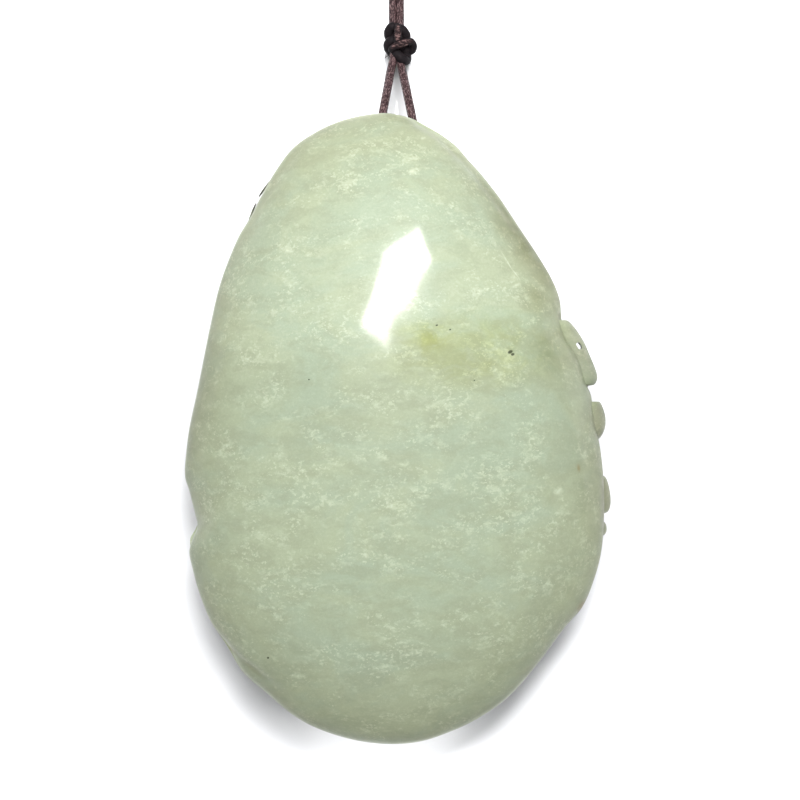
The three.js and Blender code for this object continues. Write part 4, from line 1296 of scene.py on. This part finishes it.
class PENDANT_OT_stone(Operator):
    """Adds the carved stone in place of its solid."""
    bl_idname = "pendant.stone"
    bl_label = "Carved stone"

    def execute(self, context):
        stone = add_back()
        for part in (add_face(), add_dorsal_fin(), *(add_stalk(points) for points in STALKS)):
            combine(stone, part, "UNION")
        bore = evenly(smooth_line(hole_line(), np.linspace(0, 1, 300)), 0.3)
        combine(stone, add_tube("hole", bore, HOLE_RADIUS, 24), "DIFFERENCE")
        around = 20
        gap = np.array([[*DORSAL_GAP, level] for level in np.linspace(3, 14, 20)])
        turn = 2 * np.pi * np.arange(around) / around
        oval = GAP_RADIUS + GAP_STRETCH * np.cos(2 * turn)
        combine(stone, add_tube("gap", gap, oval, around), "DIFFERENCE")
        stone.name = "jade_stone"
        finish_piece(stone, 48, jade_material(), ["jade_pendant"])
        return {"FINISHED"}


class PENDANT_OT_stage(Operator):
    """Adds the pale floor and the soft lamps."""
    bl_idname = "pendant.stage"
    bl_label = "Floor and lamps"

    def execute(self, context):
        stage = context.scene.pendant_stage
        corners = np.array([[-1, -1, 0], [1, -1, 0], [1, 1, 0], [-1, 1, 0]]) * FLOOR_HALF_SIZE
        floor = add_object("floor", corners, [(0, 1, 2, 3)])
        floor.data.materials.append(paper_material())
        world = bpy.data.worlds.new("studio")
        world.use_nodes = True
        background = world.node_tree.nodes["Background"]
        background.inputs["Color"].default_value = (0.93, 0.96, 1.0, 1)
        background.inputs["Strength"].default_value = stage.fill
        context.scene.world = world
        for name, place, size, turn, setting, share, mirrored in LAMPS:
            self.soft_lamp(name, place, size, turn, share * getattr(stage, setting), mirrored)
        lit = bpy.data.collections.new("lit_by_paper_lamps")
        lit.objects.link(floor)
        for name, place, tilt, share in PAPER_LAMPS:
            self.paper_lamp(name, place, tilt, share * stage.paper, lit)
        context.scene.view_settings.view_transform = "Standard"
        context.scene.view_settings.look = "None"
        return {"FINISHED"}

    def add_lamp(self, name, kind, place, turn, power, mirrored):
        """A lamp facing down, tilted about X and turned about Z in degrees. One that isn't mirrored
        lights the stone without showing in its polish, as a diffuser does."""
        lamp = bpy.data.objects.new(name, bpy.data.lights.new(name, kind))
        lamp.data.energy = power
        lamp.location = place
        lamp.rotation_euler = (math.radians(turn[0]), 0, math.radians(turn[1]))
        lamp.visible_glossy = mirrored
        bpy.context.scene.collection.objects.link(lamp)
        return lamp

    def soft_lamp(self, name, place, size, turn, power, mirrored):
        """A rectangular lamp."""
        lamp = self.add_lamp(name, "AREA", place, turn, power, mirrored)
        lamp.data.shape = "RECTANGLE"
        lamp.data.size, lamp.data.size_y = size

    def paper_lamp(self, name, place, tilt, power, lit):
        """A narrow spot lamp that brightens only the paper, at one end of the stone."""
        lamp = self.add_lamp(name, "SPOT", place, (tilt, 0), power, False)
        lamp.data.spot_size = math.radians(3)
        lamp.data.spot_blend = 1.0
        lamp.data.shadow_soft_size = 0.005
        lamp.light_linking.receiver_collection = lit


class PENDANT_PT_pieces(Panel):
    """Lists the pieces and their settings."""
    bl_label = "Jade fish pendant"
    bl_idname = "PENDANT_PT_pieces"
    bl_space_type = "VIEW_3D"
    bl_region_type = "UI"
    bl_category = "Pendant"

    def draw(self, context):
        for operator in OPERATORS:
            self.layout.operator(operator.bl_idname)
        for group in GROUPS:
            settings = getattr(context.scene, group)
            for name in settings.bl_rna.properties.keys():
                if name not in ("rna_type", "name"):
                    self.layout.prop(settings, name)


GROUPS = {"pendant_jade": PendantJade, "pendant_cord": PendantCord, "pendant_stage": PendantStage}
OPERATORS = (PENDANT_OT_camera, PENDANT_OT_knots, PENDANT_OT_cords, PENDANT_OT_stone, PENDANT_OT_stage)


def register():
    for part in (*GROUPS.values(), *OPERATORS, PENDANT_PT_pieces):
        bpy.utils.register_class(part)
    for name, group in GROUPS.items():
        setattr(bpy.types.Scene, name, PointerProperty(type=group))


def unregister():
    for name in GROUPS:
        delattr(bpy.types.Scene, name)
    for part in (PENDANT_PT_pieces, *reversed(OPERATORS), *GROUPS.values()):
        bpy.utils.unregister_class(part)


def main():
    register()
    bpy.ops.pendant.camera()
    bpy.ops.pendant.knots()
    bpy.ops.pendant.cords()
    bpy.ops.pendant.stone()
    bpy.ops.pendant.stage()
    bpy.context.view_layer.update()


if __name__ == "__main__":
    main()
